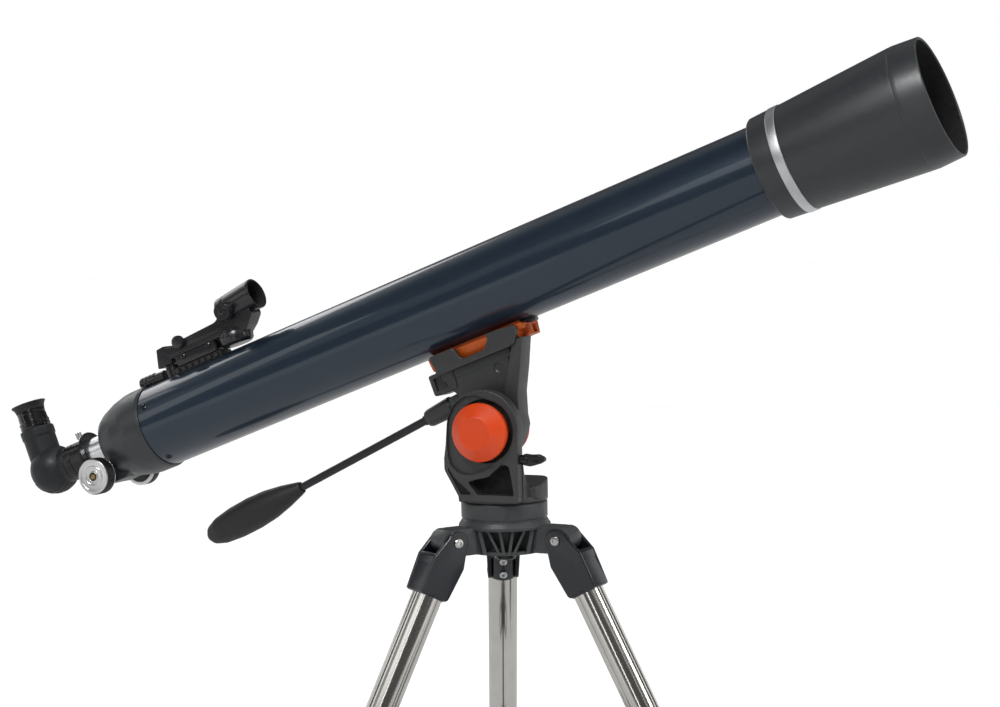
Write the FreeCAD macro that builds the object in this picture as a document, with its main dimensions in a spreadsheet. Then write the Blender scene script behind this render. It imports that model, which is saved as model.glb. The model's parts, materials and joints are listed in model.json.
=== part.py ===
import FreeCAD, Part
import math
import os
import re

import Sketcher
from FreeCAD import Placement, Rotation, Vector

# Refracting telescope on an altazimuth head and a folding tripod.
# Frame of the whole part: origin on the floor under the azimuth axis, +Z up, the rear leg towards +Y.
# Millimetres and degrees throughout.

DIMENSIONS = {
    # tripod
    "leg_spread": 27.2,
    "leg_length": 720,
    "pivot_radius": 68,
    "pivot_drop": 38,
    "leg_radius": 15.875,
    "leg_wall": 1.2,
    "inner_leg_radius": 14,
    "upper_leg_end": 430,
    "inner_leg_top": 90,
    "sleeve_half": 19,
    "sleeve_end": 61,
    "sleeve_top": 20,
    "ear_radius": 12,
    "lug_half": 13.6,
    "pin_radius": 3,
    "running_gap": 0.05,
    "face_gap": 0.35,
    "hub_radius": 45.3,
    "hub_depth": 54,
    "azimuth_bolt_radius": 6,
    # brace between the legs
    "brace_on_leg": 330,
    "brace_inboard": 22,
    "brace_hub_radius": 30,
    "brace_slope": 8,
    "tine_inner": 16.8,
    "tine_thickness": 4,
    "tine_depth": 56,
    # head
    "head_turn": -26.55,
    "altitude_rest": 20.5,
    "pivot_height": 75.7,
    "ring_radius": 41,
    "stand_front": 48,
    "stand_back": 34,
    "axle_radius": 8,
    "barrel_radius": 29.5,
    "cap_radius": 30.2,
    "cap_flat": 16.8,
    "handle_slope": 26.5,
    "rod_radius": 4.3,
    # telescope, measured along the tube from its rear end
    "tube_rise": 140.9,
    "tube_behind_pivot": 395.4,
    "tube_radius": 46.4,
    "tube_wall": 1.3,
    "tube_length": 770,
    "cell_start": 761,
    "ring_start": 782.5,
    "ring_end": 792.3,
    "shield_seam": 912,
    "shield_end": 941.4,
    "shield_radius": 60.2,
    "bar_start": 350,
    "bar_end": 465,
    "bar_bottom": 62,
    "saddle_start": 354,
    "saddle_end": 458,
    "housing_end": 70,
    "drawtube_radius": 18.3,
    "knob_behind": 77.1,
    "knob_below": 29.5,
    "knob_radius": 20.6,
    "barrel_inch": 15.875,
    "diagonal_behind": 168,
    "ball_radius": 28,
    "eyepiece_height": 84.5,
    "sight_radius": 17.3,
    "sight_tilt": 4.5,
}

LEGS = {"rear": 90, "left": 210, "right": 330}
X_AXIS = Vector(1, 0, 0)
Y_AXIS = Vector(0, 1, 0)
Z_AXIS = Vector(0, 0, 1)
# Turns a primitive that stands along Z so that it points along the named axis.
POINTING = {"x": Rotation(Y_AXIS, 90), "y": Rotation(X_AXIS, -90), "z": Rotation()}
ACROSS = {"x": "yz", "y": "xz", "z": "xy"}

doc = FreeCAD.newDocument("telescope_on_tripod")
sheet = doc.addObject("Spreadsheet::Sheet", "Dims")
for row, (alias, amount) in enumerate(DIMENSIONS.items(), start=1):
    sheet.set(f"A{row}", alias)
    sheet.set(f"B{row}", str(amount))
    sheet.setAlias(f"B{row}", alias)
doc.recompute()
nodes = []


def bound(value):
    """The expression that a size is bound to: each alias becomes a reference to the sheet."""
    return re.sub(r"[a-z_]+", lambda word: f"Dims.{word[0]}" if word[0] in DIMENSIONS else word[0], str(value))


def size(value):
    """The number that a size expression gives."""
    return float(sheet.evalExpression(bound(value)))


def shift(thing, x=0, y=0, z=0, rotation=Rotation()):
    """Put a solid at a point whose coordinates are bound to the sheet, turned by rotation."""
    thing.Placement = Placement(Vector(), rotation)
    for letter, value in zip("xyz", (x, y, z)):
        thing.setExpression(f".Placement.Base.{letter}", bound(value))
    return thing


def box(name, x, y, z):
    """A block between a low and a high value on each axis."""
    block = doc.addObject("Part::Box", name)
    for side, (low, high) in zip(("Length", "Width", "Height"), (x, y, z)):
        block.setExpression(side, bound(f"({high}) - ({low})"))
    return shift(block, x[0], y[0], z[0])


def rod(name, radius, along, start, end, across=(0, 0)):
    """A round bar along one axis, from start to end, at a place on the other two."""
    bar = doc.addObject("Part::Cylinder", name)
    bar.setExpression("Radius", bound(radius))
    bar.setExpression("Height", bound(f"({end}) - ({start})"))
    spot = {along: start, ACROSS[along][0]: across[0], ACROSS[along][1]: across[1]}
    return shift(bar, rotation=POINTING[along], **spot)


def taper(name, radii, along, start, end, across=(0, 0)):
    """A round bar whose radius changes evenly from start to end."""
    bar = doc.addObject("Part::Cone", name)
    bar.setExpression("Radius1", bound(radii[0]))
    bar.setExpression("Radius2", bound(radii[1]))
    bar.setExpression("Height", bound(f"({end}) - ({start})"))
    spot = {along: start, ACROSS[along][0]: across[0], ACROSS[along][1]: across[1]}
    return shift(bar, rotation=POINTING[along], **spot)


def ball(name, radius, x=0, y=0, z=0):
    sphere = doc.addObject("Part::Sphere", name)
    sphere.setExpression("Radius", bound(radius))
    return shift(sphere, x, y, z)


def join(name, *solids):
    fused = doc.addObject("Part::MultiFuse", name)
    fused.Shapes = list(solids)
    fused.Refine = True
    return fused


def group(name, *solids):
    """Separate solids in one node, such as a set of like screws."""
    compound = doc.addObject("Part::Compound", name)
    compound.Links = list(solids)
    return compound


def spun(solid, angle):
    """A solid turned about Z, in a wrapper so that its own bound place is kept."""
    wrapper = group(solid.Name + "_spun", solid)
    wrapper.Placement = Placement(Vector(), Rotation(Z_AXIS, angle))
    return wrapper


def cut(name, base, *tools):
    trimmed = doc.addObject("Part::Cut", name)
    trimmed.Base = base
    trimmed.Tool = tools[0] if len(tools) == 1 else join(name + "_tools", *tools)
    trimmed.Refine = True
    return trimmed


def rounded(name, base, radius, wanted):
    """Round the edges of a solid that the test function accepts."""
    doc.recompute()
    numbers = [n for n, edge in enumerate(base.Shape.Edges, start=1) if wanted(edge)]
    fillet = doc.addObject("Part::Fillet", name)
    fillet.Base = base
    fillet.Edges = [(n, radius, radius) for n in numbers]
    return fillet


def upright(edge, axis=Z_AXIS):
    """True for a straight edge that runs along the axis."""
    if not isinstance(edge.Curve, Part.Line):
        return False
    return abs(edge.Curve.Direction.dot(axis)) > 0.999


def outline(body, name, plane, points):
    """A closed outline of straight sides on an origin plane, each corner bound to the sheet."""
    sketch = body.newObject("Sketcher::SketchObject", name)
    support = [part for part in body.Origin.OriginFeatures if part.Role == plane][0]
    sketch.AttachmentSupport = (support, [""])
    sketch.MapMode = "FlatFace"
    corners = [Vector(size(across), size(up), 0) for across, up in points]
    count = len(corners)
    for number in range(count):
        sketch.addGeometry(Part.LineSegment(corners[number], corners[(number + 1) % count]))
    for number in range(count):
        sketch.addConstraint(Sketcher.Constraint("Coincident", number, 2, (number + 1) % count, 1))
    for number, point in enumerate(points):
        for kind, value in zip(("DistanceX", "DistanceY"), point):
            place = sketch.addConstraint(Sketcher.Constraint(kind, -1, 1, number, 1, size(value)))
            sketch.setExpression(f"Constraints[{place}]", bound(value))
    return sketch


def turned(name, along, points):
    """A body turned about one axis: points are (distance along it, radius)."""
    body = doc.addObject("PartDesign::Body", name)
    flat = {"x": points, "z": [(radius, place) for place, radius in points]}[along]
    sketch = outline(body, name + "_section", "XZ_Plane", flat)
    turn = body.newObject("PartDesign::Revolution", name + "_turn")
    turn.Profile = sketch
    turn.ReferenceAxis = (sketch, ["H_Axis" if along == "x" else "V_Axis"])
    turn.Angle = 360
    body.Tip = turn
    return body


def plate(name, points, low, high, plane="XZ_Plane"):
    """A body of even thickness with a straight-sided outline, between two levels along its plane's normal."""
    body = doc.addObject("PartDesign::Body", name)
    sketch = outline(body, name + "_outline", plane, points)
    # The normal of the XZ plane is -Y, so its levels change sign.
    level = f"-({high})" if plane == "XZ_Plane" else low
    sketch.setExpression("AttachmentOffset.Base.z", bound(level))
    pad = body.newObject("PartDesign::Pad", name + "_pad")
    pad.Profile = sketch
    pad.setExpression("Length", bound(f"({high}) - ({low})"))
    body.Tip = pad
    return body


def node(label, thing, frame):
    """Name a finished piece and put it in its place."""
    thing.Label = label
    thing.Placement = frame
    nodes.append(thing)


# Frames of the sub-assemblies

def frame_at(x=0, y=0, z=0, axis=Z_AXIS, angle=0):
    return Placement(Vector(x, y, z), Rotation(axis, angle))


HUB_TOP = size("pivot_drop") + size("leg_length") * math.cos(math.radians(size("leg_spread")))
HUB = frame_at(z=HUB_TOP)
HEAD = HUB * frame_at(angle=size("head_turn"))
ALTITUDE = HEAD * frame_at(z=size("pivot_height"), axis=Y_AXIS, angle=-size("altitude_rest"))
TUBE = ALTITUDE * frame_at(x=-size("tube_behind_pivot"), z=size("tube_rise"))
HANDLE = HEAD * frame_at(x=-50, z=100.6) * frame_at(axis=Y_AXIS, angle=180 - size("handle_slope"))
DIAGONAL = TUBE * frame_at(x=-size("diagonal_behind"))


def leg_frame(azimuth):
    """Origin on the leg's pivot, Z up along the leg, X square to it and outward."""
    at_pivot = frame_at(angle=azimuth) * frame_at(x=size("pivot_radius"), z=-size("pivot_drop"))
    return HUB * at_pivot * frame_at(axis=Y_AXIS, angle=-size("leg_spread"))


def brace_level():
    """Height of the brace hub's pivots above the floor, with the legs fully spread."""
    spread = math.radians(size("leg_spread"))
    slope = math.radians(size("brace_slope"))
    along = size("brace_on_leg")
    inboard = size("brace_inboard")
    reach = size("pivot_radius") + along * math.sin(spread) - inboard * math.cos(spread)
    level = HUB_TOP - size("pivot_drop") - along * math.cos(spread) - inboard * math.sin(spread)
    run = reach - size("brace_hub_radius")
    return level + run * math.tan(slope), run / math.cos(slope)


BRACE_LEVEL, ARM_LENGTH = brace_level()
BRACE = frame_at(z=BRACE_LEVEL)


# Tripod

def hub():
    """The cast hub: a drum, a ribbed skirt and three lugs that carry the leg pivots."""
    drum = turned("hub_drum", "z", [
        (0, 0), (0, "hub_radius - 2"), (-2, "hub_radius"), (-21, "hub_radius"), (-25, "hub_radius + 3"),
        (-28, "hub_radius + 3"), (-28, 34), ("4 - hub_depth", 30), ("4 - hub_depth", 41),
        ("-hub_depth", 41), ("-hub_depth", 0)])
    pieces = [drum]
    for name, azimuth in LEGS.items():
        arm = box("lug_" + name, (20, "pivot_radius"), ("-lug_half", "lug_half"), ("1 - hub_depth", -25))
        knuckle = rod("knuckle_" + name, 15, "y", "-lug_half", "lug_half", ("pivot_radius", "-pivot_drop"))
        lug = cut("lug_drilled_" + name, join("lug_solid_" + name, arm, knuckle),
                  rod("lug_bore_" + name, "pin_radius", "y", "-20", "20", ("pivot_radius", "-pivot_drop")))
        pieces.append(spun(lug, azimuth))
        for number, turn in enumerate((38, 52, 68, 82)):
            rib = box(f"rib_{name}_{number}", (25, 43), (-1.5, 1.5), ("1 - hub_depth", -26))
            pieces.append(spun(rib, azimuth + turn))
    bore = rod("hub_bore", "azimuth_bolt_radius", "z", "-hub_depth - 1", 1)
    node("tripod_hub", cut("hub_finished", join("hub_solid", *pieces), bore), HUB)


def azimuth_bolt():
    """The bolt that the head turns on: its head is under the hub and its nut above the head's floor."""
    shank = rod("bolt_shank", "azimuth_bolt_radius", "z", "-hub_depth", 19)
    head = rod("bolt_head", 11, "z", "-hub_depth - 9", "-hub_depth")
    nut = rod("bolt_nut", 10, "z", 12.4, 19)
    node("azimuth_bolt", join("bolt", shank, head, nut), HUB)


def hinge_pins():
    """One pin with two heads through each lug."""
    pins = []
    for name, azimuth in LEGS.items():
        spot = ("pivot_radius", "-pivot_drop")
        shank = rod("pin_" + name, "pin_radius", "y", "-sleeve_half - 1", "sleeve_half + 1", spot)
        near = rod("pin_near_" + name, 5.2, "y", "-sleeve_half - 2.8", "-sleeve_half - face_gap", spot)
        far = rod("pin_far_" + name, 5.2, "y", "sleeve_half + face_gap", "sleeve_half + 2.8", spot)
        pins.append(spun(join("pin_joined_" + name, shank, near, far), azimuth))
    node("hinge_pins", group("pins", *pins), HUB)


def leg_hinge(name, frame):
    """The moulded fitting: two ears on the pivot and a sleeve over the leg's top."""
    sides = plate("hinge_sides_" + name, [
        ("-ear_radius", 0), ("-sleeve_half", "-sleeve_top - 2"), ("2 - sleeve_half", "-sleeve_end"),
        ("sleeve_half - 2", "-sleeve_end"), ("sleeve_half", "-sleeve_top - 2"), ("ear_radius", 0)],
        "-sleeve_half", "sleeve_half")
    ears = rod("hinge_ears_" + name, "ear_radius", "y", "-sleeve_half", "sleeve_half")
    slot = box("hinge_slot_" + name, (-30, 30), ("-lug_half - 0.4", "lug_half + 0.4"), ("1 - sleeve_top", 20))
    seat = rod("hinge_seat_" + name, "leg_radius", "z", "-sleeve_end - 1", "-sleeve_top")
    bore = rod("hinge_bore_" + name, "pin_radius + running_gap", "y", -25, 25)
    fitting = cut("hinge_cut_" + name, join("hinge_solid_" + name, sides, ears), slot, seat, bore)
    corners = rounded("hinge_rounded_" + name, fitting, 5, sleeve_corner)
    node("leg_hinge_" + name, corners, frame)


def sleeve_corner(edge):
    """True for the four long outer corners of a leg fitting's sleeve."""
    middle = edge.CenterOfMass
    length = size("sleeve_end") - size("sleeve_top") - 4
    outer = size("sleeve_half") - 1.5
    return edge.Length > length and abs(middle.y) > outer and abs(middle.x) > outer - 1.5


def upper_leg(name, frame):
    tube = cut("upper_cut_" + name,
               rod("upper_out_" + name, "leg_radius", "z", "-upper_leg_end", "-sleeve_top"),
               rod("upper_in_" + name, "leg_radius - leg_wall", "z", "-upper_leg_end - 1", "1 - sleeve_top"))
    node("upper_leg_" + name, tube, frame)


def leg_clamp(name, frame):
    """The collar at the upper leg's lower end, with a boss for the lock knob's screw."""
    collar = turned("clamp_ring_" + name, "z", [
        ("30 - upper_leg_end", "leg_radius"), ("30 - upper_leg_end", 19), ("-upper_leg_end", 21.5),
        ("-upper_leg_end - 22", 21.5), ("-upper_leg_end - 26", 19.5),
        ("-upper_leg_end - 26", "inner_leg_radius + 0.3"), ("-upper_leg_end", "inner_leg_radius + 0.3"),
        ("-upper_leg_end", "leg_radius")])
    boss = rod("clamp_boss_" + name, 8, "x", 17, 29, (0, "-upper_leg_end - 12"))
    screw_way = rod("clamp_bore_" + name, "pin_radius + running_gap", "x", 10, 40, (0, "-upper_leg_end - 12"))
    node("leg_clamp_" + name, cut("clamp_cut_" + name, join("clamp_solid_" + name, collar, boss), screw_way),
         frame)


def leg_lock_knob(name, frame):
    """The lock knob: a fluted grip and the screw that bears on the inner leg."""
    level = "-upper_leg_end - 12"
    grip = rod("lock_grip_" + name, 13, "x", 29.5, 45, (0, level))
    flutes = []
    for number in range(8):
        angle = math.radians(45 * number)
        spot = (f"{14.5 * math.cos(angle):.3f}", f"{level} + {14.5 * math.sin(angle):.3f}")
        flutes.append(rod(f"lock_flute_{name}_{number}", 3.5, "x", 28, 47, spot))
    screw = rod("lock_screw_" + name, "pin_radius", "x", "inner_leg_radius + 0.6", 30, (0, level))
    knob = join("lock_solid_" + name, cut("lock_fluted_" + name, grip, *flutes), screw)
    node("leg_lock_knob_" + name, knob, frame)


def brace_bracket(name, frame):
    """The riveted bracket on the leg's inner side; its round end stands between the brace arm's tines."""
    spot = ("-brace_inboard", "-brace_on_leg")
    web = box("bracket_web_" + name, ("-brace_inboard", "-leg_radius + 1.5"), (-8, 8),
              ("-brace_on_leg - 11", "11 - brace_on_leg"))
    eye = rod("bracket_eye_" + name, 6, "y", "0.5 - tine_inner", "tine_inner - 0.5", spot)
    tube = rod("bracket_fit_" + name, "leg_radius", "z", "-brace_on_leg - 30", "30 - brace_on_leg")
    node("brace_bracket_" + name, cut("bracket_cut_" + name, join("bracket_solid_" + name, web, eye), tube),
         frame)


def lower_leg(name, frame):
    tube = cut("lower_cut_" + name,
               rod("lower_out_" + name, "inner_leg_radius", "z", "20 - leg_length", "-inner_leg_top"),
               rod("lower_in_" + name, "inner_leg_radius - leg_wall", "z", "19 - leg_length",
                   "1 - inner_leg_top"))
    node("lower_leg_" + name, tube, frame)


def foot(name, frame):
    """A rubber foot on the inner leg, level with the floor."""
    tip = turned("foot_tip_" + name, "z", [
        ("46 - leg_length", "inner_leg_radius"), ("46 - leg_length", 16.5), ("22 - leg_length", 17.5),
        ("-leg_length - 12", 17.5), ("-leg_length - 12", 0), ("20 - leg_length", 0),
        ("20 - leg_length", "inner_leg_radius")])
    floor = box("foot_floor_" + name, (-60, 60), (-60, 60), (-60, 0))
    below = group("foot_below_" + name, floor)
    below.Placement = frame_at(z=-size("leg_length"), axis=Y_AXIS, angle=size("leg_spread"))
    node("foot_" + name, cut("foot_cut_" + name, tip, below), frame)


def brace_hub():
    """The middle of the brace: a disc with a pinned fork for each arm."""
    disc = turned("brace_disc", "z", [(-7, 0), (-7, 20), (-4, 22.5), (7.5, 22.5), (7.5, 0)])
    pieces = [disc]
    for name, azimuth in LEGS.items():
        sides = []
        for side, (low, high) in {"a": (-11, -7.4), "b": (7.4, 11)}.items():
            sides.append(box(f"brace_ear_{name}_{side}", (12, "brace_hub_radius + 5"), (low, high), (-5, 5)))
        pin = rod("brace_pin_" + name, 2.5, "y", -11, 11, ("brace_hub_radius", 0))
        pieces.append(spun(join("brace_fork_" + name, pin, *sides), azimuth))
    node("brace_hub", join("brace_hub_solid", *pieces), BRACE)


def accessory_tray():
    """A three-lobed tray on the brace hub; each lobe holds one eyepiece in a hole."""
    lobes = [rod("tray_middle", 38, "z", 7.5, 11.5)]
    holes = []
    for number in range(3):
        turn = 30 + 120 * number
        arm = box(f"tray_arm_{number}", (0, 62), (-24, 24), (7.5, 11.5))
        end = rod(f"tray_end_{number}", 24, "z", 7.5, 11.5, (62, 0))
        lip = cut(f"tray_lip_{number}", rod(f"tray_lip_out_{number}", 24, "z", 11, 16, (62, 0)),
                  rod(f"tray_lip_in_{number}", 22, "z", 10, 18, (62, 0)))
        lobes.append(spun(join(f"tray_lobe_{number}", arm, end, lip), turn))
        holes.append(spun(rod(f"tray_hole_{number}", "barrel_inch + 0.2", "z", 0, 20, (62, 0)), turn))
    node("accessory_tray", cut("tray_cut", join("tray_solid", *lobes), *holes), BRACE)


def brace_arm(name, azimuth):
    """One arm of the brace: an eye on the brace hub's pin, and a fork that straddles the leg."""
    tines_start = ARM_LENGTH - size("tine_depth")
    outer = "tine_inner + tine_thickness"
    bar = box("arm_bar_" + name, (2, tines_start), (-6, 6), (-4, 4))
    eye = rod("arm_eye_" + name, 6, "y", -7, 7)
    bridge = box("arm_bridge_" + name, (tines_start - 8, tines_start), (f"-({outer})", outer), (-5, 5))
    tines = []
    for side, (low, high) in {"a": (f"-({outer})", "-tine_inner"), "b": ("tine_inner", outer)}.items():
        tines.append(box(f"arm_tine_{name}_{side}", (tines_start - 1, ARM_LENGTH), (low, high), (-6, 6)))
        tines.append(rod(f"arm_tip_{name}_{side}", 6, "y", low, high, (ARM_LENGTH, 0)))
    way = rod("arm_bore_" + name, "2.5 + running_gap", "y", -20, 20)
    arm = cut("arm_cut_" + name, join("arm_solid_" + name, bar, eye, bridge, *tines), way)
    at_pin = BRACE * frame_at(angle=azimuth) * frame_at(x=size("brace_hub_radius"))
    node("brace_arm_" + name, arm, at_pin * frame_at(axis=Y_AXIS, angle=size("brace_slope")))


# Head. Its frame has X under the telescope's nose, Y away from the azimuth stand, Z up from the hub's top.

def azimuth_fork():
    """The turning base with one stand on its near edge: a pear-shaped ring round the altitude axle."""
    base = rod("fork_base", "hub_radius + 0.6", "z", "face_gap", 7)
    floor = rod("fork_floor", 24, "z", 6, 12)
    pad = rounded("fork_pad_rounded", box("fork_pad", (18, 47), (-17, 15), (4, 24.5)), 9, upright)
    stand = plate("fork_stand", [
        (-43, "pivot_height"), (-46, 47), (-46, 35), (-30, 8), (-30, 2), (37.4, 2), (37.4, 60),
        (36, "pivot_height + 6")], "2 - stand_front", "-stand_back")
    gusset = box("fork_gusset", (-24, 26), ("-stand_back - 1", -14), (6, 28))
    upper = rod("fork_ring_upper", "ring_radius", "y", "-stand_front", "-stand_back", (-2, "pivot_height + 3"))
    lower = rod("fork_ring_lower", "ring_radius - 3", "y", "-stand_front", "-stand_back",
                (-4, "pivot_height - 8"))
    pieces = [base, floor, pad, stand, gusset, upper, lower]
    socket = rod("fork_socket", "cap_radius + 1.4", "y", "-stand_front - 1", "4.5 - stand_front",
                 (0, "pivot_height"))
    axle_way = rod("fork_axle_way", "axle_radius", "y", -60, -30, (0, "pivot_height"))
    window = plate("fork_window", [(-8, 10), (33, 10), (29, 29), (25, 40), (4, 29), (-21, 24)],
                   "-stand_front - 1", -22)
    side_recess = plate("fork_side_recess", [(-42, 38), (-42, 34), (-27, 9.5), (-13, 9.5), (-35, 27)],
                        "-stand_front - 1", "-stand_back - 3")
    bolt_way = rod("fork_bolt_way", "azimuth_bolt_radius + running_gap", "z", -1, 13)
    nut_room = rod("fork_nut_room", 13, "z", 12, 30)
    lock_way = rod("fork_lock_way", "pin_radius + running_gap", "x", 30, 60, (-40, 47))
    node("azimuth_fork", cut("fork_cut", join("fork_solid", *pieces), socket, axle_way, window, side_recess,
                             bolt_way, nut_room, lock_way), HEAD)


def azimuth_lock():
    """The wing lever that locks the azimuth turn."""
    boss = rod("lock_boss", 5.5, "x", 37.8, 47, (-40, 47))
    shank = rod("lock_shank", "pin_radius", "x", 32, 40, (-40, 47))
    wing = plate("lock_wing", [(42, 42), (50, 41), (64, 46), (65, 49), (60, 52.5), (42, 53)], -43.5, -36.5)
    node("azimuth_lock", join("lock_solid", boss, shank, wing), HEAD)


def altitude_axle():
    """The axle fixed in the stand's ring; the altitude arm turns on it."""
    shaft = rod("axle_shaft", "axle_radius", "y", "4.5 - stand_front", -5, (0, "pivot_height"))
    node("altitude_axle", shaft, HEAD)


def side_cap(label, mirrored, frame):
    """A round orange cap with a sloped rim; the near one sits in the stand's ring."""
    profile = [(4.5, 0), (4.5, 27), (-6, 27), (-6.6, "cap_radius"), (-12, "cap_radius"), (-23, "cap_flat"), (-23, 0)]
    if mirrored:
        profile = [(0, 0), (0, "barrel_radius - 0.5"), (4, "barrel_radius - 0.5"), (13, "cap_flat"), (13, 0)]
    # The profile is turned about X and then laid along Y.
    cap = group(label + "_laid", turned(label + "_turned", "x", profile))
    node(label, cap, frame * frame_at(angle=90))


def altitude_arm():
    """The arm on the axle: a barrel, a flanged neck and the saddle that grips the dovetail bar."""
    barrel = rod("arm_barrel", "barrel_radius", "y", "face_gap - stand_back", 0)
    top = "tube_rise - bar_bottom - face_gap - 0.2"
    flange = plate("arm_flange", [
        (0, -24), (24, -17.5), (31.8, -7.3), (33.4, 3.4), (40.9, 26.6), (53.4, 50.4), (66.5, top), (56, top),
        (35, 39.4), (24.5, 23.4), (0, 23.4)], -25, 0)
    web = plate("arm_web", [(-26, 7), (-36, 46), (-38, top), (46, top), (35, 42), (20, 18)], -21, -5)
    rear_ear = rounded("arm_ear_rounded", box("arm_ear", (-52, -29), (-15, 12), (54.5, "tube_rise - 64")), 4,
                       lambda edge: upright(edge, Y_AXIS))
    floor = box("saddle_floor", ("saddle_start - tube_behind_pivot", "saddle_end - 16 - tube_behind_pivot"),
                (-28, 28), ("tube_rise - bar_bottom - 14", "tube_rise - bar_bottom - face_gap"))
    lips = []
    for number, start in enumerate(("saddle_start + 2", "saddle_end - 34")):
        for side, (low, high, back) in {"near": (-29, -23, 0), "far": (23, 29, 16 * number)}.items():
            lips.append(box(f"saddle_lip_{number}_{side}",
                            (f"{start} - {back} - tube_behind_pivot",
                             f"{start} - {back} + 32 - tube_behind_pivot"),
                            (low, high), ("tube_rise - bar_bottom - 14", "tube_rise - 46.5")))
    axle_way = rod("arm_axle_way", "axle_radius + running_gap", "y", -40, -4)
    screw_way = rod("saddle_screw_way", "pin_radius + running_gap", "y", 20, 40,
                    ("saddle_end - 34 - tube_behind_pivot", "tube_rise - 55"))
    link_pocket = group("arm_link_pocket", box("arm_link_room", (-14, 12), (-12, 8), (-8, 8)),
                        rod("arm_socket_room", 8.5, "x", -8, 6))
    link_pocket.Placement = ALTITUDE.inverse() * HANDLE
    arm = cut("arm_cut", join("arm_solid", barrel, flange, web, rear_ear, floor, *lips), axle_way, screw_way,
              link_pocket)
    node("altitude_arm", arm, ALTITUDE)


def saddle_knob():
    """The knob on the far side of the saddle; its screw presses the dovetail bar."""
    spot = ("saddle_end - 34 - tube_behind_pivot", "tube_rise - 55")
    grip = rod("saddle_grip", 11, "y", 30, 44, spot)
    screw = rod("saddle_screw", "pin_radius", "y", 23.2, 31, spot)
    node("saddle_knob", join("saddle_knob_solid", grip, screw), ALTITUDE)


def pan_handle():
    """The handle that points the telescope: a socket on the arm, a rod screwed in it, and a soft grip."""
    socket = turned("socket_turned", "x", [(-8, 0), (-8, 8), (6, 8.5), (9, 11), (38, 9.5), (41, 8),
                                           (41, "rod_radius + running_gap"), (12, "rod_radius + running_gap"),
                                           (12, 0)])
    link = box("socket_link", (-14, 4), (-12, 8), (-8, 8))
    node("handle_socket", cut("socket_cut", join("socket_solid", socket, link),
                              rod("socket_way", "rod_radius + running_gap", "x", 12, 50)), HANDLE)
    shaft = rod("rod_shaft", "rod_radius", "x", 13, 232)
    collar = rod("rod_collar", "rod_radius + 1.2", "x", 41.4, 45)
    node("handle_rod", join("rod_solid", shaft, collar), HANDLE)
    grip = turned("grip_turned", "x", [
        (216, "rod_radius"), (216, 7), (222, 8.5), (240, 13), (262, 17), (285, 18.5), (310, 18),
        (332, 15.5), (345, 11), (351, 4), (351, 0), (232, 0), (232, "rod_radius")])
    node("handle_grip", grip, HANDLE)


# Telescope. Its frame has X along the tube towards the sky, from the tube's rear end, and Z square to it.

def main_tube():
    wall = turned("tube_wall_turned", "x", [
        (0, "tube_radius - tube_wall"), (0, "tube_radius"), ("tube_length", "tube_radius"),
        ("tube_length", "tube_radius - tube_wall")])
    node("main_tube", wall, TUBE)


def front_cell():
    """The objective's cell, its lens and the bright ring in front of it."""
    cell = turned("cell_turned", "x", [
        ("cell_start", "tube_radius"), ("cell_start", 51.6), ("cell_start + 1.5", 52.7), ("ring_start", 54),
        ("ring_start", 51.5), ("ring_start + 22", 51.5), ("ring_start + 22", 46), ("ring_start", 46),
        ("ring_start", 43.5), ("tube_length", 43.5), ("tube_length", "tube_radius")])
    node("lens_cell", cell, TUBE)
    lens = turned("lens_turned", "x", [
        ("ring_start + 0.5", 0), ("ring_start + 0.5", 45.7), ("ring_start + 14", 45.7), ("ring_start + 17", 25),
        ("ring_start + 18", 0)])
    node("objective_lens", lens, TUBE)
    ring = turned("ring_turned", "x", [
        ("ring_start", 51.5), ("ring_start", 54.2), ("ring_start + 0.5", 54.6), ("ring_end - 0.5", 54.8),
        ("ring_end", 54.4), ("ring_end", 51.5)])
    node("trim_ring", ring, TUBE)


def dew_shield():
    """The flared shield that keeps dew off the objective; a dust cap fits its mouth."""
    shell = turned("shield_turned", "x", [
        ("ring_end", 51.5), ("ring_end", 54.2), ("shield_seam", "shield_radius + 2"),
        ("shield_seam + 4", "shield_radius + 2"), ("shield_end", "shield_radius"),
        ("shield_end", "shield_radius - 2.4"), ("shield_seam - 6", "shield_radius - 2.4"),
        ("ring_end + 16", 52), ("ring_end + 12.2", 51.5)])
    node("dew_shield", shell, TUBE)


def dovetail_bar():
    """The orange bar under the tube; it slides in the saddle."""
    bar = plate("bar_outline", [(-22, -48), (22, -48), (18.5, "-bar_bottom"), (-18.5, "-bar_bottom")],
                "bar_start", "bar_end", "YZ_Plane")
    top = box("bar_top", ("bar_start + 6", "bar_end - 6"), (-12, 12), (-49, -42))
    foot = box("bar_foot", ("bar_end - 6", "bar_end + 8"), (-7, 7), (-50, -42))
    screw_notch = box("bar_notch", ("bar_end - 9", "bar_end + 1"), (-24, -9), (-63, -54))
    tube = rod("bar_tube_fit", "tube_radius", "x", 300, 520)
    node("dovetail_bar", cut("bar_cut", join("bar_solid", bar, top, foot), tube, screw_notch), TUBE)


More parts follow.
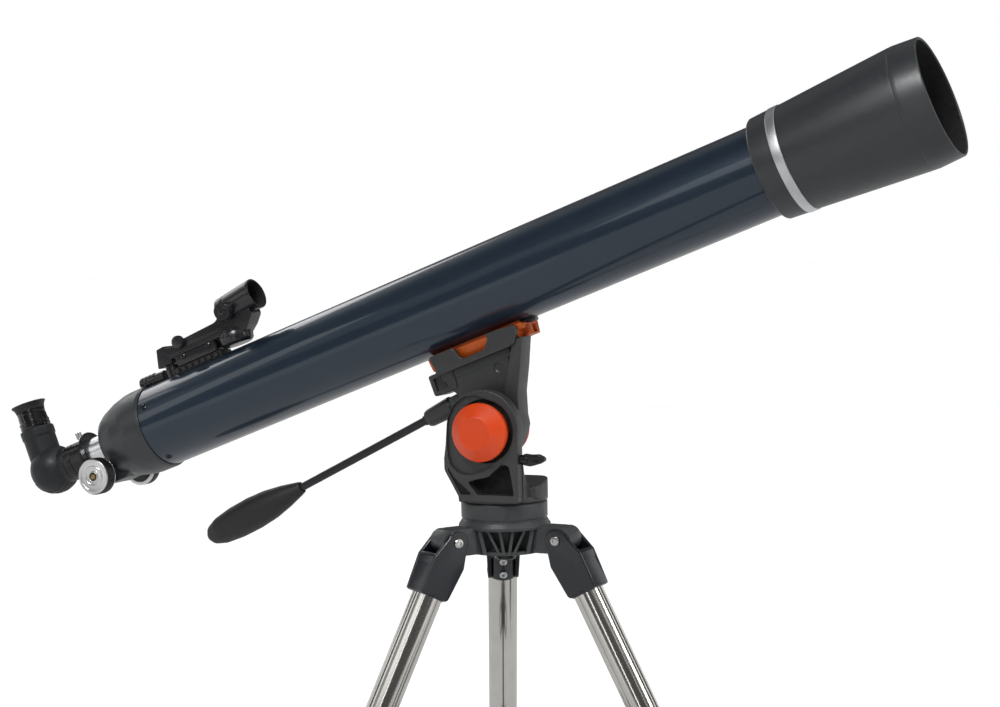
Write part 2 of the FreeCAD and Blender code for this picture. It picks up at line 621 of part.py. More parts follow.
def focuser_housing():
    """The moulded housing behind the tube, with the block below it that holds the focusing shaft."""
    shell = turned("housing_turned", "x", [
        (14, 45), (0, 45), (0, 47.6), (-4, 48.4), (-28, 48.1), (-45, 44.3), (-60, 38.8),
        ("2.5 - housing_end", 34.5), ("-housing_end", 31.5), ("-housing_end", 0), ("4 - housing_end", 0),
        ("4 - housing_end", 30), (-44, 41), (-28, 44), (0, 42.5), (14, 42.5)])
    block = box("housing_block", ("-knob_behind - 11", -50), (-22, 22), (-41, -17))
    tube_way = rod("housing_way", "drawtube_radius + face_gap", "x", -110, -50)
    rack_way = box("housing_rack_way", (-110, -50), (-3.6, 3.6), (-23.6, -10))
    pinion_room = box("housing_pinion_room", ("-knob_behind - 9", "9 - knob_behind"), (-8, 8),
                      ("-knob_below - 9", -18))
    shaft_way = rod("housing_shaft_way", "pin_radius + running_gap", "y", -40, 40,
                    ("-knob_behind", "-knob_below"))
    node("focuser_housing", cut("housing_cut", join("housing_solid", shell, block), tube_way, rack_way,
                                pinion_room, shaft_way), TUBE)


def drawtube():
    """The chromed drawtube, its rack and the collar that takes the diagonal."""
    tube = turned("drawtube_turned", "x", [
        (20, "drawtube_radius - 1.5"), (20, "drawtube_radius"), (-112, "drawtube_radius"),
        (-112, "drawtube_radius - 1.5")])
    node("drawtube", tube, TUBE)
    teeth = [box("rack_bar", (-97, 16), (-3, 3), ("-drawtube_radius - 2.2", "0.4 - drawtube_radius"))]
    for number in range(28):
        start = -96 + 4 * number
        teeth.append(box(f"rack_tooth_{number}", (start, start + 1.8), (-3, 3),
                         ("-drawtube_radius - 4.8", "-drawtube_radius - 2")))
    strip = cut("rack_cut", join("rack_solid", *teeth),
                rod("rack_fit", "drawtube_radius", "x", -110, 30))
    node("drawtube_rack", strip, TUBE)
    collar = turned("collar_turned", "x", [
        (-134, "barrel_inch + 0.1"), (-134, 20), (-133, 20.8), (-107, 20.8), (-102, 27), (-99.5, 27),
        (-99.5, "drawtube_radius"), (-112, "drawtube_radius"), (-112, "barrel_inch + 0.1")])
    screw_way = rod("collar_screw_way", "2 + running_gap", "z", 10, 40, (-115, 0))
    node("visual_back", cut("collar_cut", collar, screw_way), TUBE)
    shank = rod("thumb_shank", 2, "z", 16.6, 24, (-115, 0))
    grip = rod("thumb_grip", 3.6, "z", 23, 30.5, (-115, 0))
    node("drawtube_screw", join("thumb_solid", shank, grip), TUBE)


def focus_shaft():
    """The shaft with its pinion under the rack, and a knob at each end."""
    spot = ("-knob_behind", "-knob_below")
    shaft = rod("shaft_bar", "pin_radius", "y", -50, 50, spot)
    pinion = rod("shaft_pinion", 6.2, "y", -6, 6, spot)
    teeth = []
    for number in range(10):
        angle = math.radians(90 + 36 * number)
        place = (f"{6.2 * math.cos(angle):.3f} - knob_behind", f"{6.2 * math.sin(angle):.3f} - knob_below")
        teeth.append(rod(f"shaft_tooth_{number}", 0.9, "y", -6, 6, place))
    node("focus_shaft", join("shaft_solid", shaft, pinion, *teeth), TUBE)
    knobs = []
    for side, direction in {"near": -1, "far": 1}.items():
        body = turned("knob_turned_" + side, "x", [
            (24, "pin_radius"), (24, 9), (37, 9), (38, "knob_radius"), (52, "knob_radius"),
            (53, "knob_radius - 1"), (53, "knob_radius - 4"), (50.5, 12), (50.5, 5), (51.5, 4.5), (51.5, 0),
            (50, 0), (50, "pin_radius")])
        laid = group("knob_laid_" + side, body)
        laid.Placement = frame_at(-size("knob_behind"), 0, -size("knob_below"), Z_AXIS, 90 * direction)
        knobs.append(laid)
    node("focus_knobs", group("knob_pair", *knobs), TUBE)


def diagonal():
    """The star diagonal: a ball-shaped body with a mirror across its two light ways."""
    ball_part = ball("diagonal_ball", "ball_radius", 6, 0, 2)
    holder = turned("diagonal_holder", "z", [(0, 0), (0, 18.7), (43, 18.7), (44, 19.8), (53, 19.8), (54, 19),
                                             (54, 0)])
    front = rod("diagonal_front", 19.6, "x", 0, 33.6)
    nose = rod("diagonal_nose", "barrel_inch", "x", 20, 50)
    up_way = rod("diagonal_up_way", 14, "z", 0, 60)
    front_way = rod("diagonal_front_way", 14, "x", 0, 60)
    seat = rod("diagonal_seat", "barrel_inch + 0.1", "z", 27, 60)
    mirror_room = group("mirror_room", rod("mirror_room_disc", 16.3, "z", -3.2, 14))
    mirror_room.Placement = frame_at(axis=Y_AXIS, angle=45)
    node("diagonal_body", cut("diagonal_cut", join("diagonal_solid", ball_part, holder, front, nose), up_way,
                              front_way, seat, mirror_room), DIAGONAL)
    glass = group("mirror_wrap", rod("mirror_disc", 16, "z", -3, 0))
    node("diagonal_mirror", glass, DIAGONAL * frame_at(axis=Y_AXIS, angle=45))


def eyepiece():
    """The eyepiece in the diagonal, with a soft eyecup."""
    body = turned("eyepiece_turned", "z", [
        (29, 12.5), (29, "barrel_inch"), (54.3, "barrel_inch"), (54.3, 17.2), (57, 17.6), (63, 17.6), (64, 16),
        (72.5, 15.4), (74.5, 15.4), (74.5, 8), (38, 8), (38, 12.5)])
    node("eyepiece_body", body, DIAGONAL)
    cup = turned("eyecup_turned", "z", [
        (65, 15.96), (65, 16.6), (77, 17), ("eyepiece_height", 19.2), ("eyepiece_height", 18.2), (78, 15.6),
        (75, 12), (75, 8), (74.5, 8), (74.5, 15.45), (72.5, 15.45)])
    node("eyecup", cup, DIAGONAL)


def finder():
    """The unit-power dot finder: a rail on the tube, a body with a sight tube, and two small knobs."""
    rail = box("finder_rail", (44, 109), (-11, 11), (44, 52))
    clamp = box("finder_clamp", (52, 105), (-13, 13), (52, 64))
    post = rod("finder_post", 9, "z", 44, 64, (36, 0))
    wheel = rod("finder_wheel", 7.5, "x", -9, 24, (0, 50.3))
    tube = rod("finder_tube_fit", "tube_radius", "x", -10, 160)
    housing = rod("finder_housing_fit", 48.6, "x", -30, 0.5)
    node("finder_base", cut("finder_base_cut", join("finder_base_solid", rail, clamp, post, wheel), tube,
                            housing), TUBE)
    arm = plate("finder_arm", [
        (27, 64), (32, 80), (115, 81.5), (124, 92), (156, 90), (162, 75), (152.5, 65), (143, 59), (116, 64)],
        -11, 11)
    cover = rod("finder_cover", 17, "z", 50.5, 64, (127, 0))
    sight = group("finder_sight_tilted", taper("finder_sight", (15, "sight_radius"), "x", 0, 49))
    way = group("finder_way_tilted", taper("finder_way", (12.8, "sight_radius - 2.1"), "x", 5, 49.5))
    for tilted in (sight, way):
        tilted.Placement = frame_at(121, 0, 90.7, Y_AXIS, -size("sight_tilt"))
    peep = rod("finder_peep", 6, "x", 110, 135, (0, 91.4))
    node("finder_body", cut("finder_body_cut", join("finder_body_solid", arm, cover, sight), way, peep), TUBE)
    near_face = -11
    node("finder_side_knob", rod_piece("side_knob", 8.7, near_face - 14, near_face - 5, (134.5, 87.5)), TUBE)
    node("finder_switch_knob", rod_piece("switch_knob", 6, near_face - 6, near_face - 0.3, (62.3, 77.5)), TUBE)


def rod_piece(name, radius, start, end, spot):
    """A small knob across the finder, with a raised middle."""
    return join(name + "_solid", rod(name + "_disc", radius, "y", start, end, spot),
                rod(name + "_boss", radius / 3, "y", start - 0.8, start + 1, spot))


def build():
    hub()
    azimuth_bolt()
    hinge_pins()
    for name, azimuth in LEGS.items():
        frame = leg_frame(azimuth)
        leg_hinge(name, frame)
        upper_leg(name, frame)
        leg_clamp(name, frame)
        leg_lock_knob(name, frame)
        brace_bracket(name, frame)
        lower_leg(name, frame)
        foot(name, frame)
        brace_arm(name, azimuth)
    brace_hub()
    accessory_tray()
    azimuth_fork()
    azimuth_lock()
    altitude_axle()
    altitude_arm()
    side_cap("near_cap", False, HEAD * frame_at(0, -size("stand_front"), size("pivot_height")))
    side_cap("far_cap", True, ALTITUDE)
    saddle_knob()
    pan_handle()
    main_tube()
    front_cell()
    dew_shield()
    dovetail_bar()
    focuser_housing()
    drawtube()
    focus_shaft()
    diagonal()
    eyepiece()
    finder()


def check_and_write():
    """Stop on any failed object, then write each node's shape."""
    doc.recompute()
    for thing in doc.Objects:
        if "Invalid" in thing.State or "Error" in thing.State:
            raise RuntimeError(f"{thing.Label} did not build: {thing.State}")
    for thing in nodes:
        if thing.Shape.isNull() or not thing.Shape.isValid():
            raise RuntimeError(f"{thing.Label} has no valid shape")
    os.makedirs("parts", exist_ok=True)
    for thing in nodes:
        thing.Shape.exportStep(f"parts/{thing.Label}.step")
    print(len(nodes), "nodes; hub top", round(HUB_TOP, 2), "brace hub", round(BRACE_LEVEL, 2))


build()
check_and_write()
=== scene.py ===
import json
import math

import bmesh
import bpy
from mathutils import Matrix, Vector

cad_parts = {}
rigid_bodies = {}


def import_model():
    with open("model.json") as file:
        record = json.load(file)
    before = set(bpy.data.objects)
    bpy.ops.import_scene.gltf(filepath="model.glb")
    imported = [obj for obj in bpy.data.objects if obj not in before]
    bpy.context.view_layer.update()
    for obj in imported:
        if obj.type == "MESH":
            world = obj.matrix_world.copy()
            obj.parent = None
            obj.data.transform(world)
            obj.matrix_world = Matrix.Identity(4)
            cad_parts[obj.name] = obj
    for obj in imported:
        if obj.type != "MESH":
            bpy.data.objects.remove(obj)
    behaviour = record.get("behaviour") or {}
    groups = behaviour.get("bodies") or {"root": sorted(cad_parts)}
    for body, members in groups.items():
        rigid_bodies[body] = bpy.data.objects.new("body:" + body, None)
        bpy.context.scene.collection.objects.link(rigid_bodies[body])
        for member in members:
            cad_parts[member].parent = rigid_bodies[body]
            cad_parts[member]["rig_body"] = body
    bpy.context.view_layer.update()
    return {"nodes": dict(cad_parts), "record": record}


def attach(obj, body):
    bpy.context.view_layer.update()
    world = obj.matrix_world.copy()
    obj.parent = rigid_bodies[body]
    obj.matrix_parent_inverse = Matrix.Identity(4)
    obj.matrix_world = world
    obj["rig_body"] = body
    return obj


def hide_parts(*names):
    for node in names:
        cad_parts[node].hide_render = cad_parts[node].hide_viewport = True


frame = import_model()
nodes = frame["nodes"]

MM = 0.001

# Sizes in millimetres, as in the CAD model
HUB_TOP = 678.38
HINGE = (68, 0, -38)
CLAMP_LEVEL = -442
ALTITUDE_LEVEL = 75.7
PINION = (-77.1, 0, -29.5)
FLAKE_SIZE = 0.35
ON_AXIS = 1e-6

# Sizes in metres
WELD = 2e-6
GRAIN_HEIGHT = 0.0002
LINE_LEVEL = 0.006

# The legs' directions in degrees
LEGS = {"rear": 90, "left": 210, "right": 330}


def place(x=0.0, y=0.0, z=0.0, axis="Z", turn=0.0):
    spin = Matrix.Rotation(math.radians(turn), 4, axis)
    return Matrix.Translation((x * MM, y * MM, z * MM)) @ spin


# Local frames
HUB = place(z=HUB_TOP)
HEAD = HUB @ place(turn=-26.55)
ALTITUDE = HEAD @ place(z=ALTITUDE_LEVEL, axis="Y", turn=-20.5)
TUBE = ALTITUDE @ place(x=-395.4, z=140.9)
HANDLE = HEAD @ place(x=-50, z=100.6) @ place(axis="Y", turn=153.5)
DIAGONAL = TUBE @ place(x=-168)
SIGHT_PLACE = (121, 0, 90.7, "Y", -4.5)
SIGHT = TUBE @ place(*SIGHT_PLACE)


def leg_frame(azimuth):
    return HUB @ place(turn=azimuth) @ place(*HINGE, "Y", -27.2)


# Materials

FINISH = {}


def material(name, colour, rough, metal=0.0, vary=0.12, grain=0.0, grain_size=0.5, cloud=20.0,
        rough_vary=0.12, coat=0.0, coat_rough=0.05, streak=None, flake=0.0, specular=0.5, wear=0.0):
    """A procedural finish, kept in FINISH. Sizes are in millimetres: grain is its bump, cloud its
    slow change of tone."""
    mat = bpy.data.materials.new(name)
    mat.use_nodes = True
    tree = mat.node_tree
    shader = tree.nodes["Principled BSDF"]
    for socket, value in (("Metallic", metal), ("Specular IOR Level", specular),
            ("Coat Weight", coat), ("Coat Roughness", coat_rough)):
        shader.inputs[socket].default_value = value
    where = tree.nodes.new("ShaderNodeTexCoord").outputs["Object"]

    def noise(size, detail, source=where):
        texture = tree.nodes.new("ShaderNodeTexNoise")
        texture.inputs["Scale"].default_value = 1.0 / (size * MM)
        texture.inputs["Detail"].default_value = detail
        tree.links.new(source, texture.inputs["Vector"])
        return texture.outputs["Fac"]

    def spread(value, low, high, start=0.3, end=0.7):
        ramp = tree.nodes.new("ShaderNodeMapRange")
        for socket, limit in (("From Min", start), ("From Max", end), ("To Min", low),
                ("To Max", high)):
            ramp.inputs[socket].default_value = limit
        tree.links.new(value, ramp.inputs["Value"])
        return ramp.outputs["Result"]

    def mixed(fac, first, second, blend="MIX"):
        mix = tree.nodes.new("ShaderNodeMix")
        mix.data_type = "RGBA"
        mix.blend_type = blend
        for socket, value in (("Factor", fac), ("A", first), ("B", second)):
            if isinstance(value, bpy.types.NodeSocket):
                tree.links.new(value, mix.inputs[socket])
            else:
                mix.inputs[socket].default_value = value
        return mix.outputs["Result"]

    dark = [c * (1 - vary) for c in colour]
    light = [min(1.0, c * (1 + vary)) for c in colour]
    shade = mixed(spread(noise(cloud, 4.0), 0, 1), (*dark, 1), (*light, 1))
    if flake:
        cells = tree.nodes.new("ShaderNodeTexVoronoi")
        cells.inputs["Scale"].default_value = 1.0 / (FLAKE_SIZE * MM)
        tree.links.new(where, cells.inputs["Vector"])
        gray = tree.nodes.new("ShaderNodeRGBToBW")
        tree.links.new(cells.outputs["Color"], gray.inputs["Color"])
        shade = mixed(flake, shade, gray.outputs["Val"], "SCREEN")
    if wear:
        edges = tree.nodes.new("ShaderNodeNewGeometry").outputs["Pointiness"]
        pale_edge = [min(1.0, c * 2.2 + 0.02) for c in colour]
        shade = mixed(spread(edges, 0, wear, 0.51, 0.60), shade, (*pale_edge, 1))
    tree.links.new(shade, shader.inputs["Base Color"])
    low, high = rough * (1 - rough_vary), min(1.0, rough * (1 + rough_vary))
    rough_source = noise(6.0, 5.0)
    if streak:
        lined = tree.nodes.new("ShaderNodeMapping")
        lined.inputs["Scale"].default_value = streak
        tree.links.new(where, lined.inputs["Vector"])
        rough_source = noise(0.6, 4.0, lined.outputs["Vector"])
    tree.links.new(spread(rough_source, low, high), shader.inputs["Roughness"])
    if grain:
        bump = tree.nodes.new("ShaderNodeBump")
        bump.inputs["Strength"].default_value = grain
        bump.inputs["Distance"].default_value = GRAIN_HEIGHT
        tree.links.new(rough_source if streak else noise(grain_size, 2.0), bump.inputs["Height"])
        tree.links.new(bump.outputs["Normal"], shader.inputs["Normal"])
    FINISH[name] = mat
    return mat


material("hub_plastic", (0.028, 0.030, 0.0315), 0.42, vary=0.06, grain=0.10, wear=0.12, cloud=30.0)
material("screw_steel", (0.62, 0.62, 0.60), 0.22, 1.0, vary=0.2, streak=(1, 1, 12), grain=0.1)
material("leg_fitting", (0.0042, 0.0060, 0.0090), 0.24, vary=0.04, cloud=30.0, coat=0.35,
    coat_rough=0.12, rough_vary=0.05)
material("leg_steel", (0.66, 0.645, 0.61), 0.14, 1.0, vary=0.04, streak=(60, 60, 1), grain=0.03)
material("inner_leg_steel", (0.62, 0.61, 0.58), 0.17, 1.0, vary=0.04, streak=(60, 60, 1),
    grain=0.03)
material("lock_plastic", (0.009, 0.009, 0.010), 0.42, vary=0.06, grain=0.25, wear=0.2)
material("brace_plastic", (0.011, 0.011, 0.012), 0.42, vary=0.06, grain=0.25, grain_size=0.6,
    wear=0.2)
material("foot_rubber", (0.009, 0.009, 0.009), 0.75, grain=0.5, grain_size=0.8)
material("head_plastic", (0.022, 0.0225, 0.0235), 0.40, vary=0.06, grain=0.10, wear=0.12,
    cloud=30.0)
material("lever_plastic", (0.004, 0.004, 0.0045), 0.22, vary=0.04)
material("cap_orange", (0.46, 0.038, 0.0018), 0.33, vary=0.03, grain=0.03, cloud=30.0,
    specular=0.35, rough_vary=0.06)
material("bar_orange", (0.40, 0.066, 0.0015), 0.38, metal=0.3, vary=0.06, streak=(2, 40, 40),
    grain=0.08)
material("axle_steel", (0.5, 0.5, 0.5), 0.3, 1.0, streak=(40, 2, 40), grain=0.08)
material("handle_steel", (0.020, 0.021, 0.023), 0.30, metal=0.4, vary=0.06, streak=(2, 30, 30),
    grain=0.05)
material("grip_rubber", (0.0085, 0.0088, 0.0095), 0.52, vary=0.05, grain=0.4, cloud=30.0)
material("tube_paint", (0.0058, 0.0170, 0.0330), 0.34, metal=0.45, vary=0.03, flake=0.004, coat=0.8,
    cloud=80.0, rough_vary=0.1)
material("charcoal_plastic", (0.0170, 0.0195, 0.0220), 0.36, vary=0.04, grain=0.05, cloud=40.0,
    specular=0.6)
material("ring_aluminium", (0.72, 0.73, 0.75), 0.34, 1.0, vary=0.04, streak=(60, 2, 2), grain=0.08)
material("chrome_tube", (0.82, 0.83, 0.85), 0.24, 1.0, vary=0.03, streak=(1, 50, 50), grain=0.02)
material("rack_brass", (0.44, 0.31, 0.14), 0.35, 1.0, grain=0.1)
material("collar_black", (0.0035, 0.0035, 0.004), 0.26, vary=0.04)
material("knob_aluminium", (0.80, 0.80, 0.80), 0.32, 1.0, vary=0.03, grain=0.01, rough_vary=0.08)
material("knob_black", (0.006, 0.006, 0.0065), 0.35, vary=0.05, grain=0.12, wear=0.15)
material("diagonal_plastic", (0.0110, 0.0122, 0.0142), 0.42, vary=0.04, grain=0.05, cloud=30.0,
    specular=0.32)
material("mirror_coat", (0.86, 0.87, 0.88), 0.03, 1.0, vary=0.02)
material("eyepiece_black", (0.0035, 0.0035, 0.004), 0.18, vary=0.04, coat=0.3, rough_vary=0.05)
material("eyecup_rubber", (0.006, 0.006, 0.0065), 0.5, vary=0.05, grain=0.25, grain_size=0.4)
material("finder_plastic", (0.0095, 0.0095, 0.0112), 0.24, vary=0.04, cloud=30.0, coat=0.2,
    coat_rough=0.15, rough_vary=0.05)
material("finder_rail_grey", (0.013, 0.0135, 0.0145), 0.36, vary=0.05, grain=0.03, rough_vary=0.06)
material("inner_black", (0.004, 0.004, 0.004), 0.85, grain=0.3)
# Painted shade: a near-black finish for sheets put where the fork lies in shade, not a colour of
# the part
material("painted_shade_black", (0.002, 0.002, 0.002), 0.9, grain=0.2)


# Coated glass: a thin reflection over a dark inside
glass = material("lens_glass", (0.05, 0.09, 0.10), 0.04, vary=0.1, coat=1.0, coat_rough=0.01)
glass.node_tree.nodes["Principled BSDF"].inputs["Transmission Weight"].default_value = 0.85
glass.node_tree.nodes["Principled BSDF"].inputs["IOR"].default_value = 1.5


# Mesh helpers. Local coordinates are in millimetres.

def soft_line(points, closed):
    """A line whose corners are rounded: each point is (a, b) or (a, b, radius)."""
    count = len(points)
    line = []
    for number, point in enumerate(points):
        here = Vector(point[:2])
        radius = point[2] if len(point) > 2 else 0
        if not radius or (not closed and number in (0, count - 1)):
            line.append(tuple(here))
            continue
        back = Vector(points[number - 1][:2]) - here
        ahead = Vector(points[(number + 1) % count][:2]) - here
        lengths = (back.length, ahead.length)
        back.normalize()
        ahead.normalize()
        half = back.angle(ahead) / 2
        reach = min(radius / math.tan(half), 0.49 * min(lengths))
        start = here + back * reach
        end = here + ahead * reach
        steps = max(2, min(10, int((math.pi - 2 * half) / 0.18)))
        for step in range(steps + 1):
            t = step / steps
            line.append(tuple((1 - t) ** 2 * start + 2 * t * (1 - t) * here + t ** 2 * end))
    return line


SLOT_OF_NODE = {s["node"]: s["material_slot"] for s in frame["record"]["subparts"]}
REBUILT = set()


def body_of(node):
    return nodes[node]["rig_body"]


def slot_of(node):
    return SLOT_OF_NODE[node]


def linked(name, data):
    thing = bpy.data.objects.new(name, data)
    bpy.context.scene.collection.objects.link(thing)
    return thing


def finish_piece(name, mesh, where, finish=None, sharp=32, node=None):
    """Put a mesh on its CAD node's body. The first piece made for a node replaces it."""
    node = node or name.split(".")[0]
    body, finish = body_of(node), finish or slot_of(node)
    replaced = () if node in REBUILT else (node,)
    REBUILT.add(node)
    for polygon in mesh.polygons:
        polygon.use_smooth = True
    mesh.set_sharp_from_angle(angle=math.radians(sharp))
    piece = linked(name, mesh)
    piece.matrix_world = where
    if not mesh.materials:
        mesh.materials.append(FINISH[finish])
    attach(piece, body)
    if replaced:
        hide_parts(*replaced)
    return piece


def turned(profile, steps, closed=False, along="x"):
    """A turned mesh from (distance along the axis, radius, corner rounding)."""
    line = soft_line(profile, closed)
    vertices, rings = [], []
    for distance, radius in line:
        if radius < ON_AXIS:
            rings.append([len(vertices)])
            vertices.append((distance, 0, 0))
            continue
        rings.append(list(range(len(vertices), len(vertices) + steps)))
        for step in range(steps):
            angle = 2 * math.pi * step / steps
            vertices.append((distance, radius * math.cos(angle), radius * math.sin(angle)))
    faces = []
    pairs = len(rings) if closed else len(rings) - 1
    for number in range(pairs):
        a, b = rings[number], rings[(number + 1) % len(rings)]
        if len(a) == 1 and len(b) == 1:
            continue
        for step in range(steps):
            after = (step + 1) % steps
            if len(a) == 1:
                faces.append((a[0], b[step], b[after]))
            elif len(b) == 1:
                faces.append((a[step], b[0], a[after]))
            else:
                faces.append((a[step], b[step], b[after], a[after]))
    if along == "z":
        vertices = [(-z, y, x) for x, y, z in vertices]
    if along == "y":
        vertices = [(y, x, -z) for x, y, z in vertices]
    mesh = bpy.data.meshes.new("turned")
    mesh.from_pydata([Vector(v) * MM for v in vertices], [], faces)
    mesh.validate()
    work = bmesh.new()
    work.from_mesh(mesh)
    bmesh.ops.recalc_face_normals(work, faces=work.faces)
    work.to_mesh(mesh)
    work.free()
    return mesh


def lathe(name, where, profile, finish=None, closed=False, along="x", *, steps, sharp=40,
        node=None):
    return finish_piece(name, turned(profile, steps, closed, along), where, finish, sharp, node)


def prism(outline, low, high, bevel=0.8, plane="xz", segments=2):
    """An extruded outline with rounded rims, between two levels along the third axis."""
    line = soft_line(outline, closed=True)
    work = bmesh.new()
    order = {"xz": (0, 2, 1), "xy": (0, 1, 2), "yz": (2, 0, 1)}[plane]

    def turn(*values):
        return [values[number] for number in order]

    ring = [work.verts.new(Vector(turn(a, b, low))) for a, b in line]
    face = work.faces.new(ring)
    made = bmesh.ops.extrude_face_region(work, geom=[face])
    raised = [item for item in made["geom"] if isinstance(item, bmesh.types.BMVert)]
    bmesh.ops.translate(work, verts=raised, vec=Vector(turn(0, 0, high - low)))
    bmesh.ops.recalc_face_normals(work, faces=work.faces)
    if bevel:
        rims = [edge for edge in work.edges if len(edge.link_faces) == 2
            and any(len(f.verts) == len(line) and len(line) != 4 for f in edge.link_faces)]
        if len(line) == 4:
            rims = list(work.edges)
        bmesh.ops.bevel(work, geom=rims, offset=bevel, segments=segments, profile=0.6,
            affect="EDGES", clamp_overlap=True)
    for vertex in work.verts:
        vertex.co *= MM
    mesh = bpy.data.meshes.new("prism")
    work.to_mesh(mesh)
    work.free()
    return mesh


def block(x, y, z, bevel):
    """A rounded block as a mesh."""
    outline = [(x[0], z[0]), (x[1], z[0]), (x[1], z[1]), (x[0], z[1])]
    return prism(outline, y[0], y[1], bevel)


def applied(obj):
    """The mesh of an object with its modifiers applied; the object itself is removed."""
    depsgraph = bpy.context.evaluated_depsgraph_get()
    mesh = bpy.data.meshes.new_from_object(obj.evaluated_get(depsgraph))
    bpy.data.objects.remove(obj)
    return mesh


def shaped(base, cuts=(), bevel=0.0, segments=2, angle=32, operation="DIFFERENCE"):
    """A mesh with others cut away, or only its part inside them kept, then its edges rounded."""
    holder = linked("work", base)
    tools = [linked("tool", mesh) for mesh in cuts]
    for tool in tools:
        modifier = holder.modifiers.new("shape", "BOOLEAN")
        modifier.operation = operation
        modifier.solver = "EXACT"
        modifier.object = tool
    if bevel:
        modifier = holder.modifiers.new("round", "BEVEL")
        modifier.width = bevel * MM
        modifier.segments = segments
        modifier.limit_method = "ANGLE"
        modifier.angle_limit = math.radians(angle)
        modifier.use_clamp_overlap = True
        modifier.miter_outer = "MITER_ARC"
    mesh = applied(holder)
    for tool in tools:
        bpy.data.objects.remove(tool)
    mesh.materials.clear()
    return mesh


def soften(node, width, angle=32):
    """A CAD node as a smoother piece: its edges rounded and its faces cleaned."""
    mesh = nodes[node].data.copy()
    work = bmesh.new()
    work.from_mesh(mesh)
    bmesh.ops.remove_doubles(work, verts=work.verts, dist=WELD)
    bmesh.ops.dissolve_limit(work, angle_limit=math.radians(0.8), verts=work.verts,
        edges=work.edges)
    work.to_mesh(mesh)
    work.free()
    mesh.materials.clear()
    mesh = shaped(mesh, bevel=width, angle=angle)
    return finish_piece(node + ".round", mesh, Matrix.Identity(4), sharp=angle)


def joined(*meshes):
    """Several meshes as one."""
    work = bmesh.new()
    for mesh in meshes:
        work.from_mesh(mesh)
    mesh = bpy.data.meshes.new("joined")
    work.to_mesh(mesh)
    work.free()
    return mesh


def moved(mesh, where):
    """A mesh carried to its place; the mesh itself is changed."""
    mesh.transform(where)
    return mesh


def screw_head(name, where, radius, height, finish, recess="cross", node=None):
    """A domed screw head whose axis is local +Z, with a cross or hexagon recess."""
    dome = turned([(-0.6, 0), (-0.6, radius, 0.2), (0.35 * height, radius, 0.3 * height),
        (height, radius * 0.45, 0.5), (height, 0)], 40, along="z")
    depth = (height - 0.9, height + 2)
    if recess == "cross":
        long, wide = 0.62 * radius, 0.14 * radius
        tools = [moved(block((-long, long), (-wide, wide), depth, 0), place(turn=turn))
            for turn in (20, 110)]
    else:
        tools = [prism(hexagon(0.45 * radius), *depth, 0, "xy")]
    return finish_piece(name, shaped(dome, cuts=tools), where, finish, node=node)


def polar(radius, angle, centre=(0, 0)):
    return centre[0] + radius * math.cos(angle), centre[1] + radius * math.sin(angle)


def wavy(radius, depth, count, steps=8):
    """A round outline with even flutes."""
    angles = [2 * math.pi * step / (count * steps) for step in range(count * steps)]
    return [polar(radius - depth * (0.5 + 0.5 * math.cos(count * angle)), angle)
        for angle in angles]


def arc(centre, radius, start, end, steps):
    """Points along a circle, angles in degrees."""
    return [polar(radius, math.radians(start + (end - start) * step / steps), centre)
        for step in range(steps + 1)]


def hexagon(radius, centre=(0, 0)):
    return [polar(radius, math.pi * k / 3, centre) for k in range(6)]


def tube_of(outer, inner, start, end, edge):
    """The closed profile of a plain tube."""
    return [(start, inner, edge), (start, outer, edge), (end, outer, edge), (end, inner, edge)]


# Tripod: hub, pins and bolt

